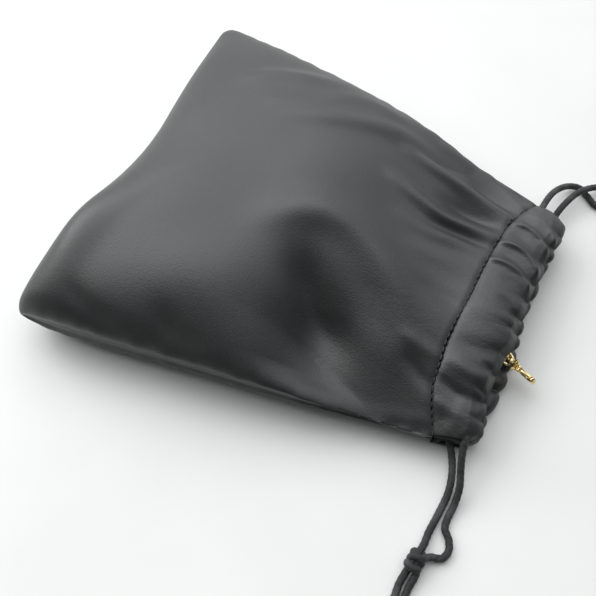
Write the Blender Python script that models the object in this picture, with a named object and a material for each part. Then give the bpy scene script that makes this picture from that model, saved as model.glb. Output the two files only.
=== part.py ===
"""Neck pouch wallet: a soft drawstring pouch that lies on its back panel.

The origin is on the surface under the middle of the pouch. +X points out of the mouth, +Y across
the pouch to its far side, +Z up. Lengths are in metres.
"""

import math

import bmesh
import bpy
from mathutils import Matrix, Vector

# ---- driving dimensions -------------------------------------------------------------------
GAP = 0.0003            # clearance that touching pieces keep
LEATHER = 0.0010        # panel leather
LINING_CLOTH = 0.0005   # lining fabric
LINING_SIDE = 0.0080    # how far inside the seams the lining's sides are
CORD_R = 0.00135        # braided drawcord

BASE_X = -0.0934        # bottom edge of the pouch
STITCH_X = 0.0550       # hem stitch line, at the middle of the mouth
STITCH_BOW = 0.0100     # how far that line runs towards the mouth at its ends
FRONT_LIP_X = 0.0780    # folded edge of the front hem
BACK_LIP_X = 0.0810     # folded edge of the back hem

BASE_HALF_WIDTH = 0.0800    # half the pouch's width at its bottom edge
STITCH_HALF_WIDTH = 0.0550  # half its width where the hems are sewn
SIDE_BULGE = 0.0035         # how far the sides swell past a straight line
CORNER = 0.0120             # rounding of the two bottom corners

SEAM_Z = 0.0150         # height of the side seams along the body
SEAM_MOUTH_Z = 0.0094   # and where they end at the mouth
BODY_RISE = 0.0220      # front panel above the seams
MOUTH_RISE = 0.0120     # the same at the hem stitch line

HEM_HALF_WIDTH = 0.0490     # half the gathered mouth
HEM_WALL = 0.0009
FRONT_HEM_TOP = 0.0214      # top of the front hem at the middle
FRONT_HEM_DROP = 0.0040     # how much lower its ends are
FRONT_MOUTH_Z = 0.0118      # mouth side of the front hem
BACK_MOUTH_Z = 0.0069       # mouth side of the back hem
MOUTH_CLOSING = 0.0020      # how far each mouth side moves to the other at the ends

RUN_INNER_X = 0.0685    # the two cord runs in each hem
RUN_OUTER_X = 0.0745
FRONT_RUN_Z = 0.0144
BACK_RUN_Z = 0.0044
TURN_Y = 0.0460         # where each cord starts its turn from one hem to the other
EXIT_Y = 0.0500         # where its strands come out of the hems

STITCH_R = 0.0003
SEAM_ALLOWANCE = 0.0050     # width of the turned-in strips inside the seams
SEAM_INSET = 0.0026         # from the outside of the leather to a strip
SEAM_HALF_THICK = 0.0008
SIDE_SEAM_ENDS = (-0.0760, 0.0560)
BOTTOM_SEAM_END = 0.0640

TAB_Y = -0.0110         # middle of the leather tab that holds the clasp
TAB_WIDTH = 0.0050
TAB_EYE_X = 0.0700      # axis of the tab's eye
CLASP_Z = 0.00935
TAB_SHEET = 0.0008
TAB_NECK = 0.0034       # where the two layers of the tab part to go round its eye
TAB_HEEL = 0.0020
TAB_TAIL = 0.0112       # end of the tab, under the front hem
TAB_SEAM = 0.0010       # from the tab's edges to its stitching
TAB_STITCH_LENGTH = 0.0052
EYE_WIRE_R = 0.0006
CLASP_YAW = math.radians(-20.0)
CLASP_ROLL = math.radians(24.0)
HEAD_X = 0.0076         # from the tab's eye to the middle of the rivet's head
HEAD_R = 0.0016
SHANK_R = 0.00065
SHANK_END = 0.0058      # end of the rivet's shank, from the middle of its head
BARREL_R = 0.0018       # the eye's barrel, which the shank turns in
BARREL_LENGTH = 0.0016
HOOK_THICK = 0.0022
HOOK_BAR = 0.0014       # width of the hook's bar
HOOK_HALF_LENGTH = 0.0046
HOOK_HALF_HEIGHT = 0.0038
HOOK_CENTRE_X = 0.0100  # from the rivet's head to the middle of the hook's oval
GATE_PIVOT = (0.0070, 0.0021)   # in the hook's plane, from the rivet's head
GATE_PIN_R = 0.00040
PIN_HOLE_R = 0.00060
SPRING_R = 0.00016
GATE_TONGUE = 0.0007

LENGTH_STEPS = 22
WIDTH_STEPS = 22


# ---- shared helpers -----------------------------------------------------------------------
def clear_scene():
    """Remove whatever the file opened with."""
    for obj in list(bpy.data.objects):
        bpy.data.objects.remove(obj, do_unlink=True)


def material(name, colour, roughness, metallic=0.0):
    """A Principled material of one colour."""
    made = bpy.data.materials.new(name)
    made.use_nodes = True
    shader = made.node_tree.nodes["Principled BSDF"]
    shader.inputs["Base Color"].default_value = (*colour, 1.0)
    shader.inputs["Roughness"].default_value = roughness
    shader.inputs["Metallic"].default_value = metallic
    return made


def add_object(name, data, finish):
    """Link an object with that data and give it the finish."""
    obj = bpy.data.objects.new(name, data)
    bpy.context.collection.objects.link(obj)
    data.materials.append(finish)
    return obj


def mesh_object(name, points, faces, finish):
    """An object from points and faces, with its faces turned outwards."""
    mesh = bpy.data.meshes.new(name)
    mesh.from_pydata([tuple(p) for p in points], [], faces)
    work = bmesh.new()
    work.from_mesh(mesh)
    bmesh.ops.recalc_face_normals(work, faces=work.faces)
    work.to_mesh(mesh)
    work.free()
    mesh.shade_smooth()
    mesh.set_sharp_from_angle(angle=math.radians(40))
    return add_object(name, mesh, finish)


def lofted(rings, ring_closed=True, loft_closed=False):
    """Quads between neighbouring rings of the same number of points."""
    count = len(rings[0])
    steps = len(rings) if loft_closed else len(rings) - 1
    across = count if ring_closed else count - 1
    faces = []
    for i in range(steps):
        a = i * count
        b = ((i + 1) % len(rings)) * count
        for j in range(across):
            k = (j + 1) % count
            faces.append((a + j, a + k, b + k, b + j))
    return [p for ring in rings for p in ring], faces


def capped_loft(name, rings, finish):
    """A closed solid through the rings, with a flat face on each end."""
    points, faces = lofted(rings)
    count = len(rings[0])
    last = count * (len(rings) - 1)
    faces.append(tuple(range(count))[::-1])
    faces.append(tuple(range(last, last + count)))
    return mesh_object(name, points, faces, finish)


def cutter(name, points, faces):
    """A helper solid for a Boolean, which isn't a part itself."""
    obj = mesh_object(name, points, faces, material(name, (0.5, 0.5, 0.5), 0.5))
    obj.hide_render = True
    obj.display_type = "WIRE"
    return obj


def boolean(obj, operation, other):
    """Join, cut or trim obj with another object."""
    modifier = obj.modifiers.new(other.name, "BOOLEAN")
    modifier.operation = operation
    modifier.solver = "EXACT"
    modifier.object = other


def smooth_line(route, step):
    """Points about a step apart on one smooth curve through the route's points."""
    ends = [2 * route[0] - route[1], *route, 2 * route[-1] - route[-2]]
    line = []
    for a, b, c, d in zip(ends, ends[1:], ends[2:], ends[3:]):
        parts = max(1, round((c - b).length / step))
        for i in range(parts):
            t = i / parts
            line.append(0.5 * ((2 * b) + (c - a) * t + (2 * a - 5 * b + 4 * c - d) * t ** 2
                               + (3 * b - a - 3 * c + d) * t ** 3))
    line.append(route[-1].copy())
    return line


def tube(name, line, radius, finish, resolution=2):
    """A round tube along a line of points, with filled ends."""
    curve = bpy.data.curves.new(name, "CURVE")
    curve.dimensions = "3D"
    curve.bevel_depth = radius
    curve.bevel_resolution = resolution
    curve.use_fill_caps = True
    spline = curve.splines.new("POLY")
    spline.points.add(len(line) - 1)
    for point, place in zip(spline.points, line):
        point.co = (*place, 1.0)
    return add_object(name, curve, finish)


def turned(profile, sides, place):
    """Rings of a shape turned about its local X axis; profile lists (x, radius)."""
    rings = []
    for x, radius in profile:
        ring = []
        for i in range(sides):
            turn = math.tau * i / sides
            ring.append(place @ Vector((x, radius * math.cos(turn), radius * math.sin(turn))))
        rings.append(ring)
    return rings


def plate(outline, thickness, place):
    """Two rings of a flat plate in the local XZ plane, centred on y = 0."""
    return [[place @ Vector((x, side * thickness / 2, z)) for x, z in outline]
            for side in (-1, 1)]


def arc(centre, radii, start, end, steps):
    """Points on an ellipse's arc in the XZ plane; the angles are in degrees."""
    points = []
    for i in range(steps + 1):
        turn = math.radians(start + (end - start) * i / steps)
        points.append((centre[0] + radii[0] * math.cos(turn),
                       centre[1] + radii[1] * math.sin(turn)))
    return points


# ---- the pouch's own shape ----------------------------------------------------------------
def ease(t):
    """Smooth step from 0 to 1."""
    t = min(max(t, 0.0), 1.0)
    return t * t * (3 - 2 * t)


def half_width(x):
    """Half the pouch's width at x, along its side seams."""
    t = (x - BASE_X) / (STITCH_X + STITCH_BOW - BASE_X)
    straight = BASE_HALF_WIDTH + (STITCH_HALF_WIDTH - BASE_HALF_WIDTH) * t
    return straight + SIDE_BULGE * math.sin(math.pi * min(max(t, 0.0), 1.0))


def seam_height(x):
    """Height of the side seams at x."""
    return SEAM_Z + (SEAM_MOUTH_Z - SEAM_Z) * ease(x / STITCH_X)


def stitch_x(across):
    """Where the hem stitch line is, at a share of the half width."""
    return STITCH_X + STITCH_BOW * across * across


def body_point(along, across, front):
    """A point on the outer leather; along runs from the bottom edge to the hem."""
    corner = CORNER * max(0.0, (abs(across) - 0.85) / 0.15) ** 2
    start = BASE_X + corner
    x = start + along * (stitch_x(across) - start)
    y = across * half_width(x)
    squareness = 2.6 + 2.4 * ease(along)
    crown = (1 - abs(across) ** squareness) ** 0.55
    edge = (1 - (1 - min(along / 0.38, 1.0)) ** 2.3) ** 0.5
    seam = seam_height(x)
    if front:
        rise = BODY_RISE + (MOUTH_RISE - BODY_RISE) * ease((along - 0.35) / 0.65)
        return Vector((x, y, seam + GAP / 2 + rise * edge * crown))
    return Vector((x, y, max(0.0, (seam - GAP / 2) * (1 - 1.35 * edge * crown))))


def inset_point(along, across, front, wall, side):
    """A point inside the outer leather: wall below it, and side in from the seams."""
    outer = body_point(along, across, front)
    seam = seam_height(outer.x) + (GAP / 2 if front else -GAP / 2)
    depth = outer.z - seam
    kept = max(0.0, abs(depth) - wall) / max(abs(depth), 1e-6)
    x = outer.x + side * max(0.0, 1 - along / 0.1)
    y = outer.y * (1 - side / half_width(outer.x))
    return Vector((x, y, seam + depth * kept))


def even_share(step, steps):
    """Shares from -1 to 1, closer together near both sides."""
    return math.sin(math.pi / 2 * (2 * step / steps - 1))


def panel(name, front, finish):
    """One leather panel, from the bottom edge to the hem, open to the inside."""
    places = [[((i / LENGTH_STEPS) ** 1.3, even_share(j, WIDTH_STEPS))
               for j in range(WIDTH_STEPS + 1)] for i in range(LENGTH_STEPS + 1)]
    outer = [[body_point(u, v, front) for u, v in row] for row in places]
    inner = [[inset_point(u, v, front, LEATHER, LEATHER) for u, v in row] for row in places]
    points, faces = lofted(outer, ring_closed=False)
    count = len(points)
    faces += [tuple(k + count for k in face[::-1]) for face in faces]
    points += [p for row in inner for p in row]
    wide = WIDTH_STEPS + 1
    rim = [*range(wide), *range(2 * wide - 1, count, wide)]
    rim += [*range(count - 2, count - wide - 1, -1), *range(count - 2 * wide, 0, -wide)]
    for a, b in zip(rim, rim[1:] + rim[:1]):
        faces.append((b, a, a + count, b + count))
    return mesh_object(name, points, faces, finish)


def lining_ring(along, inset):
    """A closed ring of the lining, that far inside its own outer face."""
    wall, side = LEATHER + 2 * GAP + inset, LINING_SIDE + inset
    ring = []
    for front in (True, False):
        for j in range(WIDTH_STEPS):
            across = even_share(j if front else WIDTH_STEPS - j, WIDTH_STEPS)
            ring.append(inset_point(along, across, front, wall, side))
    return ring


def lining(finish):
    """The lining bag: a thin cup that opens at the mouth."""
    shares = [0.10, 0.14, 0.20, 0.28, 0.38, 0.50, 0.62, 0.74, 0.86, 0.975]
    outer = [lining_ring(share, 0.0) for share in shares]
    inner = [lining_ring(share + (0.02 if share == shares[0] else 0), LINING_CLOTH)
             for share in shares]
    points, faces = lofted(outer + inner[::-1])
    count = len(outer[0])
    half = count // 2
    for base in (0, count * (len(shares) * 2 - 1)):
        for j in range(half):
            a, b = base + j, base + j + 1
            c, d = base + (count - j - 1) % count, base + (count - j) % count
            faces.append((a, b, c) if j == 0 else (a, b, c, d))
    return mesh_object("lining", points, faces, finish)


def strip_section(outer, inner):
    """The four corners of a seam strip's section."""
    return [(outer, -SEAM_HALF_THICK), (outer, SEAM_HALF_THICK),
            (inner, SEAM_HALF_THICK), (inner, -SEAM_HALF_THICK)]


def seam_strip(name, side, finish):
    """The turned-in seam allowance along one side, inside the leather."""
    rings = []
    steps = 24
    for i in range(steps + 1):
        x = SIDE_SEAM_ENDS[0] + (SIDE_SEAM_ENDS[1] - SIDE_SEAM_ENDS[0]) * i / steps
        outer = half_width(x) - SEAM_INSET
        middle = seam_height(x)
        inner = outer - SEAM_ALLOWANCE
        rings.append([Vector((x, side * y, middle + z))
                      for y, z in strip_section(outer, inner)])
    return capped_loft(name, rings, finish)


def bottom_strip(finish):
    """The turned-in seam allowance along the bottom edge."""
    rings = []
    steps = 12
    for i in range(steps + 1):
        y = BOTTOM_SEAM_END * (2 * i / steps - 1)
        outer = BASE_X + SEAM_INSET
        inner = outer + SEAM_ALLOWANCE
        rings.append([Vector((x, y, SEAM_Z + z)) for x, z in strip_section(outer, inner)])
    return capped_loft("bottom_seam", rings, finish)


# ---- the hems and their stitching ---------------------------------------------------------
def hem_limits(front, share):
    """(start, lip, mouth side, outer side) of a hem at a share of its half width."""
    start = stitch_x(share * HEM_HALF_WIDTH / STITCH_HALF_WIDTH) + GAP
    closing = MOUTH_CLOSING * share ** 6
    if front:
        top = FRONT_HEM_TOP - FRONT_HEM_DROP * share * share
        return start, FRONT_LIP_X, FRONT_MOUTH_Z - closing, top
    return start, BACK_LIP_X, BACK_MOUTH_Z + closing, 0.0


def hem_ring(front, share, inset):
    """A rounded ring of the hem's section, that far inside its outer face."""
    start, lip, mouth, outer = hem_limits(front, share)
    low, high = min(mouth, outer) + inset, max(mouth, outer) - inset
    near, far = start + inset, lip - inset
    radius = min(0.0024, (high - low) / 2 - 0.0002) if inset == 0 else 0.0012
    ring = []
    for x, z, turn in ((far - radius, high - radius, 0), (near + 0.0006, high - 0.0006, 90),
                       (near + 0.0006, low + 0.0006, 180), (far - radius, low + radius, 270)):
        size = radius if turn in (0, 270) else 0.0006
        ring += arc((x, z), (size, size), turn, turn + 90, 3)
    return [Vector((x, share * HEM_HALF_WIDTH, z)) for x, z in ring]


def hem(name, front, finish):
    """A folded and stitched channel, open at both ends for the cords."""
    shares = [-1 + 2 * i / 16 for i in range(17)]
    outer = [hem_ring(front, share, 0.0) for share in shares]
    inner = [hem_ring(front, share, HEM_WALL) for share in shares]
    points, faces = lofted(outer + inner[::-1], loft_closed=True)
    return mesh_object(name, points, faces, finish)


def hem_stitching(name, front, finish):
    """The thread row that closes a hem, lying just outside the leather."""
    line = []
    for i in range(33):
        share = -0.96 + 1.92 * i / 32
        start, _, _, outer = hem_limits(front, share)
        off = STITCH_R + GAP
        z = outer + off if front else 0.0
        line.append(Vector((start + 0.0028, share * HEM_HALF_WIDTH, z)))
    if not front:
        for point in line:
            share = point.y / HEM_HALF_WIDTH
            point.x -= 0.0004
            point.z = hem_limits(False, share)[2] + STITCH_R + GAP
    return tube(name, line, STITCH_R, finish, resolution=0)


# ---- the drawcords ------------------------------------------------------------------------
NEAR_BACK_STRAND = [
    (RUN_INNER_X, -EXIT_Y, BACK_RUN_Z), (0.0702, -0.0556, 0.0043), (0.0730, -0.0618, 0.0034),
    (0.0751, -0.0690, 0.0020), (0.0759, -0.0770, 0.0014), (0.0758, -0.0850, 0.0016),
    (0.0757, -0.0905, 0.0024),
]
NEAR_FRONT_STRAND = [
    (RUN_OUTER_X, -EXIT_Y, FRONT_RUN_Z), (0.0752, -0.0556, 0.0124), (0.0768, -0.0612, 0.0084),
    (0.0783, -0.0668, 0.0046), (0.0791, -0.0725, 0.0022), (0.0792, -0.0778, 0.0014),
    (0.0806, -0.0816, 0.0014), (0.0832, -0.0846, 0.0014), (0.0845, -0.0882, 0.0014),
    (0.0832, -0.0916, 0.0016), (0.0792, -0.0932, 0.0024),
]
NEAR_KNOT = (0.0752, -0.0964, 0.0032)
NEAR_TAILS = [
    [(0.0736, -0.1012, 0.0022), (0.0730, -0.1060, 0.0014), (0.0732, -0.1120, 0.0014),
     (0.0722, -0.1190, 0.0014), (0.0690, -0.1260, 0.0014), (0.0640, -0.1310, 0.0014)],
    [(0.0770, -0.1008, 0.0022), (0.0764, -0.1060, 0.0014), (0.0764, -0.1120, 0.0014),
     (0.0758, -0.1180, 0.0014), (0.0752, -0.1250, 0.0014), (0.0762, -0.1330, 0.0014)],
]
FAR_BACK_STRAND = [
    (RUN_OUTER_X, EXIT_Y, BACK_RUN_Z), (0.0749, 0.0560, 0.0052), (0.0762, 0.0622, 0.0060),
    (0.0784, 0.0685, 0.0066), (0.0812, 0.0740, 0.0062), (0.0850, 0.0790, 0.0044),
    (0.0900, 0.0836, 0.0024), (0.0960, 0.0870, 0.0014), (0.1030, 0.0880, 0.0020),
]
FAR_FRONT_STRAND = [
    (RUN_INNER_X, EXIT_Y, FRONT_RUN_Z), (0.0688, 0.0560, 0.0128), (0.0698, 0.0630, 0.0098),
    (0.0718, 0.0700, 0.0064), (0.0754, 0.0760, 0.0034), (0.0804, 0.0786, 0.0018),
    (0.0850, 0.0762, 0.0014), (0.0892, 0.0736, 0.0014), (0.0940, 0.0738, 0.0014),
    (0.0990, 0.0780, 0.0014), (0.1032, 0.0834, 0.0020),
]
FAR_KNOT = (0.1078, 0.0872, 0.0032)
FAR_TAILS = [
    [(0.1122, 0.0900, 0.0022), (0.1164, 0.0930, 0.0014), (0.1204, 0.0976, 0.0014),
     (0.1232, 0.1034, 0.0014), (0.1240, 0.1096, 0.0014), (0.1226, 0.1156, 0.0014)],
    [(0.1128, 0.0874, 0.0022), (0.1176, 0.0892, 0.0014), (0.1232, 0.0924, 0.0014),
     (0.1282, 0.0968, 0.0014), (0.1312, 0.1026, 0.0014), (0.1326, 0.1090, 0.0014)],
]
CORD_STEP = 0.0045


def vectors(route):
    """A route's points as vectors."""
    return [Vector(point) for point in route]


def hem_turn(side, front_x, back_x):
    """The runs through both hems and the turn between them, from front to back.

    The cord comes in at the given side, and turns at the other one.
    """
    far = -side
    front = Vector((front_x, far * TURN_Y, FRONT_RUN_Z))
    back = Vector((back_x, far * TURN_Y, BACK_RUN_Z))
    middle = (front + back) / 2
    spoke = (front - back) / 2
    reach = Vector((0, far * spoke.length, 0))
    points = [Vector((front_x, y * side, FRONT_RUN_Z)) for y in (0.035, 0.012, -0.012, -0.034)]
    for i in range(9):
        turn = math.pi * i / 8
        points.append(middle + spoke * math.cos(turn) + reach * math.sin(turn))
    points += [Vector((back_x, y * side, BACK_RUN_Z)) for y in (-0.034, -0.012, 0.012, 0.035)]
    return points


def knot(name, place, turn, finish):
    """The overhand knot of both strands, as its outer shape."""
    radii = Vector((0.0046, 0.0034, 0.0030))
    frame = Matrix.Translation(place) @ Matrix.Rotation(turn, 4, "Z")
    rings = []
    for i in range(1, 8):
        angle = math.pi * i / 8
        ring = []
        for j in range(12):
            spin = math.tau * j / 12
            ring.append(frame @ Vector((-radii.x * math.cos(angle),
                                        radii.y * math.sin(angle) * math.cos(spin),
                                        radii.z * math.sin(angle) * math.sin(spin))))
        rings.append(ring)
    return capped_loft(name, rings, finish)


def drawcord(side_name, side, strands, knot_place, knot_turn, tails, finish):
    """One drawcord: its runs and strands, its knot and its two tails."""
    front, back = vectors(strands[0]), vectors(strands[1])
    front_x, back_x = front[0].x, back[0].x
    route = front[::-1] + hem_turn(side, front_x, back_x) + back
    tube(f"{side_name}_drawcord", smooth_line(route, CORD_STEP), CORD_R, finish)
    knot(f"{side_name}_cord_knot", Vector(knot_place), knot_turn, finish)
    for number, tail in enumerate(tails, 1):
        line = smooth_line(vectors(tail), CORD_STEP)
        tube(f"{side_name}_cord_tail_{number}", line, CORD_R, finish)


# ---- the clasp and its tab ----------------------------------------------------------------
def tab_frame():
    """The frame of the tab's eye: +Y along the eye, +X out along the clasp."""
    return Matrix.Translation((TAB_EYE_X, TAB_Y, CLASP_Z)) @ Matrix.Rotation(CLASP_YAW, 4, "Z")


def clasp_frame():
    """The swivel's frame: at the rivet's head, +X out along the clasp."""
    return tab_frame() @ Matrix.Translation((HEAD_X, 0, 0))


def hook_frame():
    """The hook's own plane, rolled on the swivel."""
    return clasp_frame() @ Matrix.Rotation(CLASP_ROLL, 4, "X")


def clasp_tab(leather, thread):
    """The folded leather tab, sewn to the mouth side of the back hem, with its thread."""
    eye_hole = EYE_WIRE_R + GAP
    eye_r = eye_hole + TAB_SHEET
    place = tab_frame()
    bottom = BACK_MOUTH_Z + GAP - CLASP_Z
    top = bottom + 2 * TAB_SHEET
    outline = arc((0, 0), (eye_r, eye_r), -78, 110, 10)
    outline += [(-TAB_NECK, top), (-TAB_TAIL, top), (-TAB_TAIL, bottom), (-TAB_HEEL, bottom)]
    points, faces = plate_solid(outline, TAB_WIDTH, place)
    tab = mesh_object("clasp_tab", points, faces, leather)
    hole = turned([(-TAB_WIDTH, eye_hole), (TAB_WIDTH, eye_hole)], 16,
                  place @ Matrix.Rotation(math.pi / 2, 4, "Z"))
    boolean(tab, "DIFFERENCE", ring_cutter("tab_eye_cutter", hole))
    off = top + STITCH_R * 0.7 + GAP
    start, end = -TAB_TAIL + TAB_SEAM, -TAB_TAIL + TAB_SEAM + TAB_STITCH_LENGTH
    side = TAB_WIDTH / 2 - TAB_SEAM
    square = [(start, -side), (start, side), (end, side), (end, -side)]
    line = [place @ Vector((x, y, off)) for x, y in square]
    tube("tab_stitching", line, STITCH_R * 0.7, thread, resolution=0)


def plate_solid(outline, thickness, place):
    """Points and faces of a flat plate with that outline."""
    rings = plate(outline, thickness, place)
    points, faces = lofted(rings)
    count = len(outline)
    faces.append(tuple(range(count))[::-1])
    faces.append(tuple(range(count, 2 * count)))
    return points, faces


def ring_cutter(name, rings):
    """A helper solid through the rings."""
    points, faces = lofted(rings)
    count = len(rings[0])
    last = count * (len(rings) - 1)
    faces.append(tuple(range(count))[::-1])
    faces.append(tuple(range(last, last + count)))
    return cutter(name, points, faces)


def clasp_eye(finish):
    """The wire triangle that hangs in the tab, with the barrel that the rivet turns in."""
    place = tab_frame()
    half = TAB_WIDTH / 2 + 2 * EYE_WIRE_R
    barrel = HEAD_X + HEAD_R + BARREL_LENGTH - 0.0005
    shoulder = half + 0.0002
    corners = [(0, -half), (0, half), (0.0020, shoulder), (HEAD_X, 0.0030),
               (barrel, BARREL_R), (barrel, -BARREL_R), (HEAD_X, -0.0030), (0.0020, -shoulder)]
    rings = []
    for i, (x, y) in enumerate(corners):
        before, after = corners[i - 1], corners[(i + 1) % len(corners)]
        along = Vector((after[0] - before[0], after[1] - before[1], 0)).normalized()
        out = Vector((along.y, -along.x, 0))
        rings.append([place @ (Vector((x, y, 0)) + EYE_WIRE_R * (
            out * math.cos(math.tau * j / 8) + Vector((0, 0, math.sin(math.tau * j / 8)))))
            for j in range(8)])
    points, faces = lofted(rings, loft_closed=True)
    eye = mesh_object("clasp_eye", points, faces, finish)
    frame = clasp_frame()
    start = HEAD_R + GAP
    sleeve = turned([(start, BARREL_R), (start + BARREL_LENGTH, BARREL_R)], 16, frame)
    boolean(eye, "UNION", ring_cutter("barrel_helper", sleeve))
    bore = turned([(start - 0.002, SHANK_R + GAP), (start + 0.004, SHANK_R + GAP)],
                  16, frame)
    boolean(eye, "DIFFERENCE", ring_cutter("barrel_cutter", bore))


def swivel_rivet(finish):
    """The rivet: a round head inside the eye, and a shank through its barrel."""
    profile = [(-HEAD_R * math.cos(math.radians(a)), HEAD_R * math.sin(math.radians(a)))
               for a in (8, 25, 45, 65, 90, 115, 135, 152)]
    profile += [(HEAD_R, SHANK_R), (SHANK_END, SHANK_R)]
    capped_loft("swivel_rivet", turned(profile, 16, clasp_frame()), finish)


def oval(inset, start, end, steps):
    """An arc of the hook's oval, in its own plane, in degrees."""
    return arc((HOOK_CENTRE_X, 0), (HOOK_HALF_LENGTH - inset, HOOK_HALF_HEIGHT - inset),
               start, end, steps)


def clasp_hook(finish):
    """The hook: its collar, its oval bar and its nose, with a slot for the gate."""
    frame = hook_frame()
    gate_start, nose = 150.0, 412.0     # ends of the bar, in degrees round the oval
    outline = oval(0, gate_start, nose, 26) + oval(HOOK_BAR, nose, gate_start, 26)
    points, faces = plate_solid(outline, HOOK_THICK, frame)
    hook = mesh_object("clasp_hook", points, faces, finish)
    collar_start = HEAD_R + BARREL_LENGTH + 2 * GAP
    cone = [(collar_start, 0.0021), (collar_start + 0.0006, 0.0023),
            (collar_start + 0.0030, 0.0013), (collar_start + 0.0036, 0.0012)]
    boolean(hook, "UNION", ring_cutter("collar_helper", turned(cone, 16, frame)))
    ear = arc(GATE_PIVOT, (0.0013, 0.0013), 0, 345, 15)
    ear_points, ear_faces = plate_solid(ear, HOOK_THICK - 0.0001, frame)
    boolean(hook, "UNION", cutter("ear_helper", ear_points, ear_faces))
    socket = turned([(0.0, SHANK_R + GAP), (SHANK_END + GAP, SHANK_R + GAP)], 16, frame)
    boolean(hook, "DIFFERENCE", ring_cutter("socket_cutter", socket))
    x, z = GATE_PIVOT
    slot = [(x - 0.0010, z - 0.0015), (x + 0.0040, z - 0.0015),
            (x + 0.0040, z + 0.0030), (x - 0.0010, z + 0.0030)]
    slot_points, slot_faces = plate_solid(slot, GATE_TONGUE + 2 * GAP, frame)
    boolean(hook, "DIFFERENCE", cutter("slot_cutter", slot_points, slot_faces))
    pin = turned([(-HOOK_THICK, PIN_HOLE_R), (HOOK_THICK, PIN_HOLE_R)], 12, pin_frame())
    boolean(hook, "DIFFERENCE", ring_cutter("pin_hole_cutter", pin))


def pin_frame():
    """The gate pin's frame: its local X runs along the pin."""
    x, z = GATE_PIVOT
    return (hook_frame() @ Matrix.Translation((x, 0, z))
            @ Matrix.Rotation(math.pi / 2, 4, "Z"))


def clasp_gate(finish):
    """The sprung gate: it closes the hook from its pin to the nose."""
    frame = hook_frame()
    outline = oval(0.0002, 128, 70, 8) + oval(HOOK_BAR, 60, 128, 8)
    x, z = GATE_PIVOT
    outline += arc((x, z), (0.00085, 0.00085), 310, 80, 8)
    points, faces = plate_solid(outline, GATE_TONGUE, frame)
    gate = mesh_object("clasp_gate", points, faces, finish)
    hole = turned([(-HOOK_THICK, PIN_HOLE_R), (HOOK_THICK, PIN_HOLE_R)], 12, pin_frame())
    boolean(gate, "DIFFERENCE", ring_cutter("gate_hole_cutter", hole))


def gate_fittings(finish):
    """The gate's pin and its small return spring."""
    reach = HOOK_THICK / 2
    capped_loft("gate_pin", turned([(-reach, GATE_PIN_R), (reach, GATE_PIN_R)], 12,
                                   pin_frame()), finish)
    frame = hook_frame()
    route = [frame @ Vector(p) for p in (
        (0.0076, 0, -0.0016), (0.0082, 0, -0.0006), (0.0088, 0, 0.0006), (0.0098, 0, 0.0014))]
    tube("gate_spring", smooth_line(route, 0.0006), SPRING_R, finish, resolution=0)


# ---- the whole object ---------------------------------------------------------------------
def build():
    """Make every piece in order."""
    clear_scene()
    leather = material("black_leather", (0.020, 0.021, 0.022), 0.45)
    cloth = material("lining_cloth", (0.030, 0.029, 0.028), 0.85)
    thread = material("black_thread", (0.012, 0.012, 0.013), 0.7)
    cord = material("braided_cord", (0.016, 0.016, 0.017), 0.75)
    gold = material("gold_metal", (0.83, 0.66, 0.36), 0.22, 1.0)

    panel("front_panel", True, leather)
    panel("back_panel", False, leather)
    lining(cloth)
    seam_strip("near_side_seam", -1, leather)
    seam_strip("far_side_seam", 1, leather)
    bottom_strip(leather)
    hem("front_hem", True, leather)
    hem("back_hem", False, leather)
    hem_stitching("front_hem_stitching", True, thread)
    hem_stitching("back_hem_stitching", False, thread)
    drawcord("near", -1, (NEAR_FRONT_STRAND, NEAR_BACK_STRAND), NEAR_KNOT,
             math.radians(-98), NEAR_TAILS, cord)
    drawcord("far", 1, (FAR_FRONT_STRAND, FAR_BACK_STRAND), FAR_KNOT,
             math.radians(32), FAR_TAILS, cord)
    clasp_tab(leather, thread)
    clasp_eye(gold)
    swivel_rivet(gold)
    clasp_hook(gold)
    clasp_gate(gold)
    gate_fittings(gold)


build()
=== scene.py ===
"""Looks of the neck pouch wallet: black leather, sewn hems, braided cords and a gold clasp.

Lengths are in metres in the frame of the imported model, unless a name ends in _mm. +X points
out of the mouth, +Y to the far side of the pouch and +Z up. The pouch lies on its back panel
on z = 0.
"""

from __future__ import annotations

import logging
import math
from dataclasses import dataclass
from enum import Enum

import bmesh
import bpy
import numpy as np
from mathutils import Matrix, Vector

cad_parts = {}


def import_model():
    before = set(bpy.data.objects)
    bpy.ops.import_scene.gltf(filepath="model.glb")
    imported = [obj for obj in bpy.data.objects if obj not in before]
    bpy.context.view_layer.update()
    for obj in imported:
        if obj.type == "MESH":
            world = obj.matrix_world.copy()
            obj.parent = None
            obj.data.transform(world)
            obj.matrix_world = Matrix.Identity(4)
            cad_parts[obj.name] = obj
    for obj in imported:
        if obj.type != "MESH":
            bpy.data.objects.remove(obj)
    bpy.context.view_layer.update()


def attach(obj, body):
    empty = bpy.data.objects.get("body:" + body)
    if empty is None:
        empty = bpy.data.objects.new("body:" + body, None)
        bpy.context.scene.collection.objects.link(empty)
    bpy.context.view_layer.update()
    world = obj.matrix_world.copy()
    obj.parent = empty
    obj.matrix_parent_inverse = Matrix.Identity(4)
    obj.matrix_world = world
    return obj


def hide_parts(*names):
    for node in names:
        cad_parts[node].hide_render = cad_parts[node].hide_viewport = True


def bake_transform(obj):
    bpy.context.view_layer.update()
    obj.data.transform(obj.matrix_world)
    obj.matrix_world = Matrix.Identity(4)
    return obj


LOG = logging.getLogger("pouch")
MM = 0.001
ACROSS = np.array([0.0, 1.0, 0.0])
UP = np.array([0.0, 0.0, 1.0])


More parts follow.
